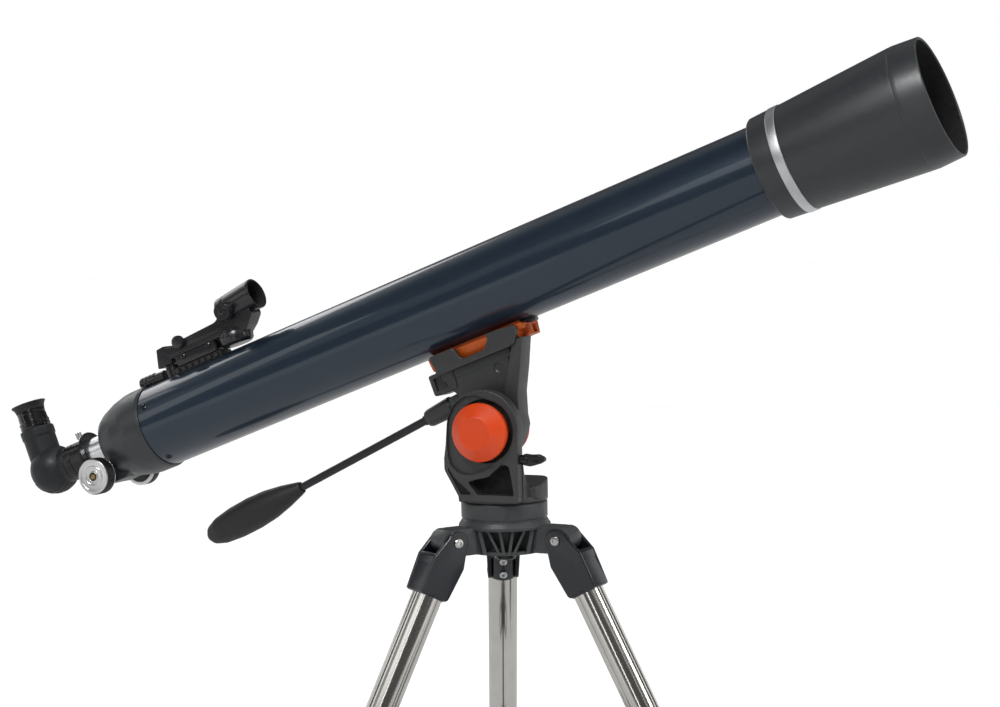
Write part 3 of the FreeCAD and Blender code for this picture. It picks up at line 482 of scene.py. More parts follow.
def build_hub():
    profile = [(0, 0), (0, 43.3, 1), (-2, 45.3, 1.5), (-17, 45.3, 0.6), (-17.6, 44.4, 0.4),
        (-19.4, 44.4, 0.4), (-20, 45.3, 0.6), (-21, 45.5, 1), (-25, 48.2, 1.2), (-28, 48.2, 1),
        (-28.6, 45.0, 1), (-30, 34, 3), (-50, 28, 2), (-50.4, 40.2, 0.6), (-53.9, 40.8, 0.8),
        (-54, 0)]
    meshes = [turned(profile, 128, along="z")]
    for azimuth in LEGS.values():
        turn = place(turn=azimuth)
        outline = [(20, -25), (64, -25, 2), (74, -25.6, 6), (83, -33, 8), (83, -43, 8),
            (74, -52.6, 8), (60, -53, 3), (20, -53)]
        meshes.append(moved(prism(outline, -13.6, 13.6, 1.2), turn))
        gap = place(turn=azimuth + 60)
        for high, low in ((-19.5, -7.2), (-7.0, -2.6), (7.0, 2.6), (19.5, 7.2)):
            rib = prism([(high - 1.7, -27), (high + 1.7, -27), (low + 1.5, -53), (low - 1.5, -53)],
                27, 42.4 - 0.006 * high ** 2, 0.5, "yz")
            meshes.append(moved(rib, gap))
        for side in (-1, 1):
            rim = prism([(side * 27.5 - 2.2, -27), (side * 27.5 + 2.2, -27), (side * 22 + 2.2, -53),
                (side * 22 - 2.2, -53)], 22, 36.4, 0.7, "yz")
            meshes.append(moved(rim, gap))
        for height in (-6.2, -13.6):
            dimple = turned([(44.6, 0), (44.6, 1.7, 0.2), (45.9, 1.4, 0.4), (46.1, 0)], 24)
            meshes.append(moved(dimple, place(turn=azimuth + 61) @ place(z=height)))
    finish_piece("hub.casting", joined(*meshes), HUB, "hub_plastic", node="tripod_hub")
    bolt = turned([(-63, 0), (-63, 9.6, 0.8), (-62, 11, 0.6), (-54.2, 11, 0.6), (-54, 6.4),
        (-54, 6), (12.4, 6), (12.4, 0)], 48, along="z")
    nut = prism(hexagon(10), 12.4, 18.4, 0.7, "xy")
    stud = turned([(18.0, 0), (18.0, 5.9), (19, 5.2, 0.3), (19, 0)], 32, along="z")
    finish_piece("azimuth_bolt.turned", joined(bolt, nut, stud), HUB)
    pins = []
    for azimuth in LEGS.values():
        at = place(turn=azimuth) @ place(*HINGE)
        pins.append(moved(turned([(-19.9, 0), (-19.9, 3), (19.9, 3), (19.9, 0)], 32, along="y"),
            at))
        for turn in (180, 0):
            head = turned([(19.4, 0), (19.4, 4.9, 0.2), (20.4, 5.2, 0.3), (21.4, 4.3, 0.6),
                (21.7, 0)], 48, along="y")
            head = shaped(head, cuts=[prism(hexagon(2.4), 20.4, 23, 0)])
            pins.append(moved(head, at @ place(turn=turn)))
    finish_piece("hinge_pins.turned", joined(*pins), HUB)


# Legs

def build_leg(name):
    where = leg_frame(LEGS[name])
    ears = [(-12, 0), *arc((0, 0), 12, 180, 0, 14)[1:-1], (12, 0), (19, -22, 6), (17.6, -60.6, 2),
        (-15.4, -60.6, 6), (-18.4, -22, 6)]
    crown = prism([(-17, -30), (-18.6, -22, 7), (-12, -4, 8), (12, -4, 8), (19, -22, 7),
        (18.4, -30)], -18.5, 18.5, 3.0, segments=4)
    skirt = prism([(18, -18.4, 4), (18, 18.4, 4), (-3, 18.4, 5), (-15, 12.5, 7), (-18.4, 0, 12),
        (-15, -12.5, 7), (-3, -18.4, 5)], -61, -24, 2.2, "xy", 4)
    parts = []
    for low, high in ((-19, -14.1), (14.1, 19)):
        parts.append(prism(ears, low, high, 1.3, segments=3))
    room = block((-40, 40), (-14, 14), (-19, 30), 0)
    bore = turned([(-70, 0), (-70, 15.9), (-20, 15.9), (-20, 0)], 64, along="z")
    shell = joined(shaped(crown, cuts=[room, bore]), shaped(skirt, cuts=[room, bore]))
    # The fitting gets narrower from just under its pivot, by 12% at its lower end
    taper_start, taper_length, taper = 0.004, 0.057, 0.12
    for piece in (shell, *parts):
        for vertex in piece.vertices:
            depth = max(0.0, (-taper_start - vertex.co.z) / taper_length)
            vertex.co.y *= 1 - taper * depth
    ring = turned([(-61.2, 15.95, 0.3), (-61.2, 17.2, 0.6), (-57.5, 17.4, 0.6),
        (-57.5, 15.95, 0.3)], 64, True, "z")
    finish_piece("leg_hinge." + name, joined(shell, ring, *parts), where, "leg_fitting", sharp=28,
        node="leg_hinge_" + name)
    for number, height in enumerate((-35, -52)):
        inward = where @ place(-18.4 + 0.045 * (height + 35), 0, height) @ place(axis="Y", turn=-90)
        screw_head(f"leg_hinge.rivet_{name}_{number}", inward, 4.2, 1.5, "screw_steel", "hex",
            "leg_hinge_" + name)
    lathe("upper_leg.tube_" + name, where, tube_of(15.875, 14.6, -430, -20.4, 0.3), "leg_steel",
        closed=True, along="z", steps=128, node="upper_leg_" + name)
    collar = turned([(-400, 15.9, 0.2), (-400, 18.4, 1.2), (-403, 19.2, 1.2), (-428, 20.6, 1),
        (-429, 21.5, 0.8), (-440, 21.5, 0.4), (-440.5, 20.9, 0.3), (-442, 20.9, 0.3),
        (-442.5, 21.5, 0.4), (-452, 21.5, 1.4), (-456, 19.5, 1), (-456, 14.3, 0.4), (-430, 14.3),
        (-430, 15.9)], 96, True, "z")
    boss = turned([(17, 3.1), (17, 8), (28, 8, 0.8), (29, 7.2, 0.4), (29, 3.1)], 48, True)
    finish_piece("leg_clamp.collar_" + name, joined(collar, moved(boss, place(z=CLAMP_LEVEL))),
        where, node="leg_clamp_" + name)
    grip = prism(wavy(13, 2.6, 8), 29.7, 45, 1.4, "yz", 3)
    cap = turned([(44.6, 0), (44.6, 8.2, 0.4), (45.6, 7.6, 0.6), (45.9, 0)], 48)
    shank = turned([(14.8, 0), (14.8, 2.2, 0.4), (15.6, 3), (30, 3), (30, 0)], 32)
    finish_piece("leg_lock.knob_" + name, joined(grip, cap, shank), where @ place(z=CLAMP_LEVEL),
        node="leg_lock_knob_" + name)
    web = block((-22, -15.2), (-7.6, 7.6), (-341, -319), 1.4)
    plate = turned([(-360, 15.9, 0.2), (-360, 17.2, 0.8), (-300, 17.2, 0.8), (-300, 15.9, 0.2)], 96,
        True, "z")
    keep = block((-20, -9), (-12, 12), (-361, -299), 0)
    strap = shaped(plate, [keep], operation="INTERSECT")
    eye = moved(turned([(-16.3, 0), (-16.3, 5.2, 0.6), (-15.6, 6, 0.4), (15.6, 6, 0.4),
        (16.3, 5.2, 0.6), (16.3, 0)], 40, along="y"), place(-22, 0, -330))
    rivets = []
    for height in (-352, -308):
        rivets.append(moved(turned([(-18.4, 0), (-18.2, 1.6, 0.5), (-17.2, 2.6, 0.3), (-16.8, 2.6),
            (-16.8, 0)], 24), place(z=height)))
    finish_piece("brace_bracket.mould_" + name, joined(web, strap, eye, *rivets), where,
        node="brace_bracket_" + name)
    lathe("lower_leg.tube_" + name, where, tube_of(14, 12.8, -700, -90, 0.3), "inner_leg_steel",
        closed=True, along="z", steps=96, node="lower_leg_" + name)
    soften("foot_" + name, 0.9, angle=26)


def build_brace():
    for node in ("brace_hub", "accessory_tray"):
        soften(node, 0.7)
    for name in LEGS:
        soften("brace_arm_" + name, 0.8)


# Head

def build_fork():
    rim = [(37.4, 2, 3), (37.4, 60, 10), *arc((-2, 78.2), 40.4, 2, 178, 34), (-44, 60, 12),
        (-46, 47, 8), (-46, 35, 9), (-30.5, 8, 6), (-30, 2, 2)]
    stand = prism(rim, -48, -34, 1.6, segments=4)
    dish = [(13.5, 102), (22, 98.4), (28, 91.5), (31.2, 83), (31.2, 70.4), (27, 60), (16.5, 47),
        (8, 39.6), (-0.7, 34.8), (-12, 31), (-22, 30.4), (-31, 33), (-38.2, 40), (-41.2, 50),
        (-41.8, 60), (-41.6, 81.7), (-39.6, 91), (-34.9, 100.4), (-28.8, 106.8), (-20.5, 111.8),
        (-10, 113.2), (0, 111), (7.4, 107)]
    dish_tool = prism([(*p, 5) for p in dish], -50, -44.6, 0)
    socket = turned([(-60, 0), (-60, 33.2), (-42.2, 33.2), (-42.2, 0)], 96, along="y")
    socket.transform(place(z=ALTITUDE_LEVEL))
    window = prism([(-8, 10, 2), (33, 10, 2), (30.5, 27, 3), (27.5, 41, 4), (19.5, 42.4, 4),
        (4, 29, 8), (-20, 23.5, 3)], -60, -22, 0)
    side = prism([(-41.4, 37.6, 1.5), (-41.4, 34.4, 1.5), (-27.4, 10, 1.5), (-14, 10, 1.5),
        (-34, 27, 9)], -60, -45.4, 0)
    stand = shaped(stand, cuts=[dish_tool, socket, window, side], bevel=0.9, segments=3, angle=40)
    base = turned([(0.4, 0), (0.4, 45.4, 0.5), (0.9, 45.9, 0.5), (5.4, 45.9, 0.9), (7, 44.4, 1),
        (7, 24), (12, 23.4, 1), (12, 12.5, 0.4), (11.4, 12), (11.4, 0)], 128, along="z")
    pad = prism([(16, -21, 2), (46, -21, 12), (48, 16, 14), (16, 16, 2)], 4, 24.8, 2.6, "xy", 4)
    # The pad's top slopes down from its far edge to the near one
    middle_level, far_edge, slope = 0.012, 0.016, 0.24
    for vertex in pad.vertices:
        if vertex.co.z > middle_level:
            vertex.co.z -= (far_edge - vertex.co.y) * slope
    sweep = prism([(-36, 4), (-36, 46), (-34.8, 40, 6), (-32.6, 31, 8), (-29, 24, 8),
        (-23, 18.8, 8), (-12, 17.6, 2), (-10, 4)], 29, 38.4, 1.4, "yz", 4)
    gusset = prism([(-24, 6), (26, 6), (20, 28, 6), (-18, 28, 6)], -26.5, -14, 1.5)
    flank = []
    for x in (-20, 22):
        flank.append(prism([(-31, 6), (-15, 6), (-17, 20, 4), (-31, 60)], x - 2, x + 2, 0.8, "yz"))
    back = turned([(-36, 10), (-33.85, 13, 0.6), (-33.85, 20, 0.6), (-36, 23)], 64, along="y")
    back.transform(place(z=ALTITUDE_LEVEL))
    finish_piece("azimuth_fork.casting", joined(stand, base, pad, sweep, gusset, *flank, back),
        HEAD, "head_plastic", sharp=35)
    # Painted shade: a black sheet behind the fork's window, where the inside of the stand lies in
    # shade
    screen = prism([(-23, 6), (33, 6), (32, 40, 4), (20, 44, 6), (-8, 43, 8), (-24, 26, 5)], -35.4,
        -33.4, 0.6)
    finish_piece("azimuth_fork.screen", screen, HEAD, "painted_shade_black")
    # Painted shade: a black sheet over the stand's lower side recess, where it lies in shade
    panel = prism([(-40.6, 37, 1.5), (-40.6, 34.6, 1.5), (-27.2, 10.6, 1.5), (-15, 10.6, 1.5),
        (-34, 26.6, 9)], -46.4, -45.2, 0.4)
    finish_piece("azimuth_fork.panel", panel, HEAD, "painted_shade_black")
    # Painted shade: a black ring on the floor of the socket, standing in for the shadow in the gap
    # round the near cap
    gap = turned([(-42.1, 8.2), (-42.1, 33.4), (-42.3, 33.4), (-42.3, 8.2)], 96, True, along="y")
    finish_piece("azimuth_fork.gap", moved(gap, place(z=ALTITUDE_LEVEL)), HEAD, "painted_shade_black")


def build_lever():
    boss = turned([(37.9, 0), (37.9, 5, 0.4), (46, 5.5, 0.6), (47, 4.8, 0.4), (47, 0)], 48)
    shank = turned([(32, 0), (32, 3, 0.3), (40, 3), (40, 0)], 32)
    wing = prism([(41.6, 41.6, 2), (50, 40.6, 4), (60, 43.4, 6), (65.4, 46.6, 2.4), (64.6, 50, 2.2),
        (58, 53, 5), (50, 52.4, 5), (41.6, 53.4, 2)], -43.9, -36.1, 1.7, segments=4)
    dimple = moved(turned([(-46, 0), (-46, 2.6), (-43.4, 2.3), (-43.1, 1.2), (-43.0, 0)], 32,
        along="y"), place(56.5, 0, 47.4) @ Matrix.Diagonal((1.9, 1, 1, 1)))
    wing = shaped(wing, cuts=[dimple])
    turn = place(0, -40, 47)
    finish_piece("azimuth_lock.wing", joined(wing, moved(boss, turn), moved(shank, turn)), HEAD,
        "lever_plastic", sharp=50)


def build_axle():
    lathe("altitude_axle.turned", HEAD @ place(z=ALTITUDE_LEVEL),
        [(-43.5, 0), (-43.5, 8, 0.4), (-6, 8, 0.6), (-5, 7, 0.4), (-5, 0)], "axle_steel", along="y",
        steps=64)
    lathe("near_cap.turned", HEAD @ place(0, -48, ALTITUDE_LEVEL),
        [(4.5, 0), (4.5, 26.6, 0.4), (-5.8, 26.8), (-6.4, 29.2, 0.3), (-6.8, 30.2, 0.5),
        (-11.6, 30.2, 0.7), (-12.4, 29.6, 0.5), (-22.6, 17.4, 0.7), (-23, 16.4, 0.5),
        (-22.7, 15.6, 0.3), (-22.6, 14), (-22.6, 0)], "cap_orange", along="y", steps=160, sharp=50)
    lathe("far_cap.turned", ALTITUDE, [(0.2, 0), (0.2, 28.6, 0.3), (3.6, 29, 0.5), (4.2, 28.6, 0.5),
        (12.6, 17.4, 0.6), (13, 16.4, 0.4), (12.8, 15.4, 0.3), (12.8, 0)], "cap_orange", along="y",
        steps=128, sharp=50)


def build_arm():
    barrel = turned([(-33.6, 0), (-33.6, 29, 0.5), (-33, 29.5, 0.5), (-27, 29.5), (-26.6, 29.1),
        (-25.8, 29.1), (-25.4, 29.5), (-0.6, 29.5, 0.5), (0, 28.9, 0.5), (0, 0)], 128, along="y")
    flange = prism([(-6, -24), (10, -22.6, 6), (24, -17.5, 8), (31.8, -7.3, 6), (33.4, 3.4, 12),
        (40.9, 26.6, 20), (53.4, 50.4, 20), (66.5, 78.2, 1), (55, 78.2, 1), (32, 41.4, 20),
        (23.5, 25.4, 14), (10, 23.4, 6), (-6, 23.4)], -25, -1, 1.3, segments=3)
    web = prism([(-20, 6), (-24, 24, 12), (-27, 46, 10), (-34, 58, 6), (-38, 78.2), (46, 78.2),
        (35, 42, 12), (20, 18)], -19, -4, 1.6, segments=3)
    web = shaped(web, cuts=[moved(turned([(-24, 0), (-24, 6.6), (-18.2, 5.0), (-17.4, 3.4, 1),
        (-17.2, 0)], 40, along="y"), place(27, 0, 58))])
    ear = prism([(-52.6, 54, 3), (-24, 54, 3), (-22, 76.7, 3), (-52.6, 76.7, 3)], -20.5, 12, 1.5,
        segments=3)
    ear = shaped(ear, cuts=[block((-47.6, -27), (-23, -15.4), (58.4, 72.2), 0)], bevel=0.5)
    nut = prism(hexagon(3.4, (-31.4, 65)), -18.4, -15, 0.5)
    floor = joined(block((-38, 46), (-19.5, 27.8), (65, 77.6), 1.6),
        block((-40, 48), (-26, 27), (74, 78.4), 1.2))
    lobes = prism([(-41, 92, 3), (-38.4, 94.2, 2), (-12, 94.2, 2), (-8.6, 90.4, 4), (-7.4, 84, 6),
        (-3.6, 79.9, 3), (22.2, 79.9, 5), (30.1, 87.9, 5), (29.6, 94.9, 2), (60.6, 92.9, 2),
        (65.2, 89.9, 3), (63.4, 83.9, 3), (57, 74.4, 4), (48, 72.6, 4), (-30, 72.6, 4),
        (-37, 76, 5)], -28.6, -23, 1.3, segments=3)
    crease = prism([(-34, 73.4, 1), (50, 73.4, 1), (54, 75.2, 1), (-36.4, 75.2, 1)], -29.0, -27,
        0.3)
    far = []
    for start in (-39.4, 12.6):
        far.append(prism([(start, 65, 2), (start, 94.2, 3), (start + 32, 94.2, 3),
            (start + 32, 65, 2)], 23, 29, 1.2, segments=3))
    finish_piece("altitude_arm.casting", joined(barrel, flange, web, ear, nut, floor, lobes, crease,
        *far), ALTITUDE, "head_plastic", sharp=38)
    spot = place(28.6, 0, 85.9)
    grip = moved(prism(wavy(11, 1.6, 12), 30.2, 44, 1.2, "xz", 3), spot)
    shank = moved(turned([(23.2, 0), (23.2, 3, 0.4), (31, 3), (31, 0)], 32, along="y"), spot)
    finish_piece("saddle_knob.grip", joined(grip, shank), ALTITUDE)


def build_handle():
    lathe("handle_socket.turned", HANDLE, [(-8, 0), (-8, 7.4, 0.6), (-7.4, 8, 0.5), (5, 8.4, 1.5),
        (8.4, 11, 1.2), (37, 9.6, 1.6), (40.6, 8.4, 0.8), (41, 7.6, 0.4), (41, 4.5)], steps=96)
    finish_piece("handle_socket.link", block((-14, 4), (-12, 8), (-8, 8), 1.2), HANDLE)
    lathe("handle_rod.turned", HANDLE, [(13, 0), (13, 4.1, 0.3), (41.4, 4.3), (41.4, 5.2, 0.3),
        (45, 5.5, 0.3), (45, 4.4, 0.3), (232, 4.3), (232, 0)], "handle_steel", steps=64)
    profile = [(216, 4.6), (215.6, 6.4, 0.8), (222, 8.3, 6), (240, 12.8, 18), (262, 16.8, 24),
        (285, 18.4, 24), (310, 18, 24), (332, 15.4, 16), (345, 10.8, 8), (350.6, 4.6, 4), (351, 0)]
    lathe("handle_grip.moulded", HANDLE, profile, "grip_rubber", steps=128, sharp=60)


# Telescope

def build_tube():
    lathe("main_tube.shell", TUBE, [(0, 45.1), (0, 46.4, 0.4), (770, 46.4, 0.2), (770, 45.1)],
        "tube_paint", closed=True, steps=192)
    lathe("lens_cell.turned", TUBE, [(761, 46.45), (761, 51.6, 0.6), (762.5, 52.7, 0.5),
        (782.5, 54, 0.2), (782.5, 51.5), (804.5, 51.5), (804.5, 46), (782.5, 46), (782.5, 43.5),
        (770, 43.5), (770, 46.45)], closed=True, steps=192)
    lathe("trim_ring.turned", TUBE, [(782.6, 51.5), (782.6, 54.2, 0.3), (783.1, 54.6, 0.3),
        (791.7, 54.8, 0.4), (792.2, 54.4, 0.2), (792.2, 51.5)], "ring_aluminium", closed=True,
        steps=192)
    lathe("dew_shield.moulded", TUBE, [(792.3, 51.5), (792.3, 54.0, 0.4), (850, 58.0, 30),
        (911, 62.1, 0.8), (911.7, 61.8, 0.3), (912.5, 61.8, 0.3), (913.2, 62.2, 0.8),
        (916.5, 62.2, 1.2), (940.6, 60.6, 1.2), (941.4, 59.8, 0.8), (941.4, 58.6, 0.5),
        (940.6, 57.9, 0.5), (906, 57.8, 3), (808.3, 52, 2), (804.5, 51.5)], "charcoal_plastic",
        closed=True, steps=192)
    lathe("dew_shield.lining", TUBE, [(939.8, 57.85), (939.8, 57.6), (906, 57.5, 3),
        (808.3, 51.8, 2), (805, 51.3), (805, 51.5), (808.3, 52.1, 2), (906, 57.9, 3)],
        "inner_black", closed=True, steps=192)
    lathe("objective_lens.ground", TUBE, [(783, 0), (783, 45.7), (796, 45.7, 0.5), (798.5, 30, 10),
        (800.5, 0)], "lens_glass", steps=192, sharp=60)
    lathe("objective_lens.ring", TUBE, [(797.5, 43.2, 0.3), (797.5, 46, 0.2), (802.5, 46, 0.3),
        (802.5, 44.6, 0.4)], "inner_black", closed=True, steps=160)


def build_bar():
    bar = prism([(-22, -48.2), (22, -48.2), (18.5, -61.9), (-18.5, -61.9)], 350, 464.8, 1.0, "yz")
    cuts = [block((457, 468), (-14, -5), (-60, -51), 0), block((457, 468), (3, 12), (-60, -51), 0),
        block((456, 466), (-26, -9), (-64, -54.2), 0)]
    bar = shaped(bar, cuts=cuts, bevel=0.35)
    top = prism([(356, -48.6), (459, -48.6), (459, -43.2, 1), (356, -43.2, 1)], -12, 12, 0.6)
    finish_piece("dovetail_bar.extrusion", joined(bar, top), TUBE, "bar_orange")
    finish_piece("dovetail_bar.foot", block((459, 473), (-7, 7), (-50, -43), 1.2), TUBE,
        "collar_black")
    for number, spot in enumerate((372, 440)):
        head = turned([(-62.4, 0), (-62.4, 4.6, 0.4), (-61.6, 5, 0.3), (-61.0, 5), (-61.0, 0)], 40,
            along="z")
        finish_piece(f"dovetail_bar.screw_{number}", head, TUBE @ place(spot), "screw_steel")


def build_focuser():
    lathe("focuser_housing.dome", TUBE, [(14, 42.5), (14, 45), (-0.2, 45), (-0.2, 47.4, 0.3),
        (-4, 48.4, 2), (-24, 48.2, 4), (-30, 47.6, 6), (-45, 44.3, 12), (-60, 38.8, 8),
        (-67.5, 34.5, 1.2), (-70, 31.5, 1), (-70, 21, 0.6), (-69.4, 19.4, 0.4), (-66.4, 18.7, 0.3),
        (-66, 30), (-44, 41), (-28, 44), (0, 42.5)], closed=True, steps=160, sharp=45)
    base = prism([(-88.1, -17, 2), (-88.1, -35, 5), (-83, -41, 4), (-56, -41, 4), (-48, -34, 6),
        (-48, -17)], -22, 22, 1.8, segments=3)
    way = turned([(-120, 0), (-120, 18.7), (-40, 18.7), (-40, 0)], 96)
    cuts = [way, block((-110, -50), (-3.6, 3.6), (-24, -10), 0),
        block((-86, -68), (-8, 8), (-38.5, -18), 0)]
    base = shaped(base, cuts=cuts)
    bush = []
    for side in (-1, 1):
        bush.append(moved(turned([(side * 21, 3.1), (side * 21, 8), (side * 23.6, 7.6, 0.5),
            (side * 23.6, 3.1)], 48, True, "y"), place(*PINION)))
    finish_piece("focuser_housing.block", joined(base, *bush), TUBE, sharp=35)
    for number, angle in enumerate((152, 28, 84, 236)):
        around = math.radians(angle)
        spot = (TUBE @ place(9, 46.3 * math.cos(around), 46.3 * math.sin(around))
            @ Matrix.Rotation(around - math.pi / 2, 4, "X"))
        screw_head(f"focuser_housing.screw_{number}", spot, 4.0, 1.5, "collar_black")
    lathe("drawtube.chrome", TUBE, tube_of(18.3, 16.8, -112, 20, 0.3), closed=True, steps=128)
    teeth = [block((-97, 16), (-3, 3), (-20.5, -17.4), 0.15)]
    for number in range(28):
        start = -96 + 4 * number
        teeth.append(prism([(start - 0.1, -20.4), (start + 0.25, -23, 0.3),
            (start + 1.55, -23, 0.3), (start + 1.9, -20.4)], -3, 3, 0.1))
    finish_piece("drawtube_rack.cut", joined(*teeth), TUBE)
    lathe("visual_back.turned", TUBE, [(-134, 16.0, 0.3), (-134, 19.6, 0.6), (-133, 20.6, 0.5),
        (-124, 20.8, 0.3), (-123.5, 20.2, 0.2), (-122.3, 20.2, 0.2), (-121.8, 20.8, 0.3),
        (-108.5, 20.8, 1.5), (-104.4, 25.6, 1.2), (-103.2, 26.6, 0.5), (-102.0, 26.6, 0.4),
        (-101.8, 25.8, 0.3), (-102.4, 18.35), (-112, 18.35), (-112, 16.0)], closed=True, steps=128,
        sharp=45)
    knurl = prism(wavy(3.6, 0.35, 18, steps=4), 24.2, 30.4, 0.35, "xy")
    foot = turned([(16.6, 0), (16.6, 2), (23, 2), (23.2, 3.2, 0.3), (24.4, 3.2, 0.2), (24.4, 0)],
        32, along="z")
    finish_piece("drawtube_screw.thumb", joined(knurl, foot), TUBE @ place(-115))
    shaft = TUBE @ place(*PINION)
    rod = turned([(-49.6, 0), (-49.6, 3), (49.6, 3), (49.6, 0)], 40, along="y")
    pinion = prism(wavy(7.0, 1.5, 10, steps=8), -6, 6, 0.15)
    pinion.transform(place(axis="Y", turn=18))
    finish_piece("focus_shaft.turned", joined(rod, pinion), shaft)
    for side, sign in (("near", -1), ("far", 1)):
        turn = shaft if sign > 0 else shaft @ place(turn=180)
        knurled = prism(wavy(20.6, 0.7, 60, steps=4), 39.2, 51.4, 0.5)
        core = turned([(24, 3), (24, 8.6, 0.4), (37, 9, 0.5), (37.6, 9.4), (38, 19.2, 0.8),
            (39.6, 20.4), (39.6, 3)], 96, True, "y")
        finish_piece("focus_knobs.body_" + side, joined(knurled, core), turn, "knob_black",
            sharp=40)
        rings = [(50.6, 0), (50.6, 19.4), (52.7, 19.4, 0.3), (53.1, 18.9, 0.4), (53, 16.4, 0.3),
            (52.2, 15.6, 0.6), (52.0, 12.4, 0.4), (52.9, 11.6, 0.5), (52.8, 9.8, 0.3),
            (52.0, 9.0, 0.4), (51.8, 6.6, 0.3), (52.9, 6.0, 0.4), (52.9, 5.0, 0.3),
            (51.2, 4.6, 0.3), (51.1, 0)]
        lathe("focus_knobs.face_" + side, turn, rings, "knob_aluminium", along="y", steps=128,
            sharp=30)
        lathe("focus_knobs.centre_" + side, turn, [(51.0, 0), (51.0, 3.0), (52.4, 2.9, 0.4),
            (52.7, 2.0, 0.3), (52.2, 1.2), (52.2, 0)], "rack_brass", along="y", steps=48)
        lathe("focus_knobs.band_" + side, turn, [(38.0, 16.5), (37.7, 17, 0.2), (37.7, 19.8, 0.3),
            (38.6, 20.6, 0.3), (39.4, 20.6, 0.2), (39.4, 16.5)], "knob_aluminium", closed=True,
            along="y", steps=96)


def build_diagonal():
    ball = turned([polar(28, math.radians(a), (6, 0)) for a in (*range(180, 45, -6), 45)]
        + [(26, 0)], 128)
    ball.transform(place(z=2))
    collar = turned([(6, 18.7), (29, 18.7, 0.5), (43, 18.7), (44, 19.6, 0.4), (52.6, 19.8, 0.5),
        (53.8, 19.2, 0.5), (54, 18.4, 0.4), (54, 16.1, 0.3), (38, 16.0), (27, 15.98), (27, 14),
        (6, 14)], 128, True, "z")
    front = turned([(4, 14), (4, 19.4), (20, 19.6, 0.4), (32.6, 19.6, 0.5), (33.6, 18.8, 0.5),
        (33.6, 14)], 128, True)
    finish_piece("diagonal_body.ball", joined(ball, collar, front), DIAGONAL, sharp=40)
    bands = []
    for offset in (-12, -6, 0, 6, 12):
        reach = math.sqrt(28.5 ** 2 - offset ** 2)
        line = arc((0, 0), reach, 200, 318, 28)
        inner = arc((0, 0), reach - 1.6, 318, 200, 28)
        bands.append(moved(prism(line + inner, offset - 0.55, offset + 0.55, 0.3), place(6, 0, 2)))
    finish_piece("diagonal_body.ribs", joined(*bands), DIAGONAL)
    lathe("diagonal_body.nose", DIAGONAL, [(20, 14.1), (20, 15.8), (48.6, 15.8, 0.3),
        (49.8, 15.2, 0.3), (49.8, 14.1)], "chrome_tube", closed=True, steps=96)
    lathe("diagonal_mirror.disc", DIAGONAL @ place(axis="Y", turn=45),
        [(-3, 0), (-3, 15.6, 0.2), (-2.6, 16, 0.2), (-0.4, 16, 0.2), (0, 15.6, 0.2), (0, 0)],
        "mirror_coat", along="z", steps=96)
    lathe("eyepiece_body.turned", DIAGONAL, [(54.2, 15.9), (54.2, 17.0, 0.3), (55.4, 17.3, 0.3),
        (57, 17.6, 0.4), (58.2, 17.6, 0.3), (58.6, 17.1, 0.2), (59.6, 17.1, 0.2), (60, 17.6, 0.3),
        (62.6, 17.6, 0.5), (63.4, 16.6, 0.4), (70.6, 16.4, 0.2), (71, 16.0, 0.2), (71.8, 16.0, 0.2),
        (72.2, 16.4, 0.2), (75.4, 16.4, 0.5), (75.6, 8), (54.2, 8)], closed=True, along="z",
        steps=128)
    lathe("eyepiece_body.barrel", DIAGONAL, tube_of(15.87, 12.5, 29, 54.4, 0.4), "chrome_tube",
        closed=True, along="z", steps=96)
    lathe("eyepiece_body.lens", DIAGONAL, [(66, 0), (66, 8.2), (72.4, 8.2), (73.4, 5, 2),
        (73.8, 0)], "lens_glass", along="z", steps=64)
    lathe("eyecup.fold", DIAGONAL, [(75.7, 15.4, 0.3), (75.7, 16.6, 0.3), (78.5, 17.1, 2),
        (81.5, 18.4, 2), (83.4, 20.0, 0.8), (84.4, 20.2, 0.4), (84.5, 19.2, 0.4), (80.5, 16.6, 2),
        (77.6, 13.4, 1), (77.2, 8.6, 0.4), (75.7, 8.6)], "eyecup_rubber", closed=True, along="z",
        steps=128, sharp=60)


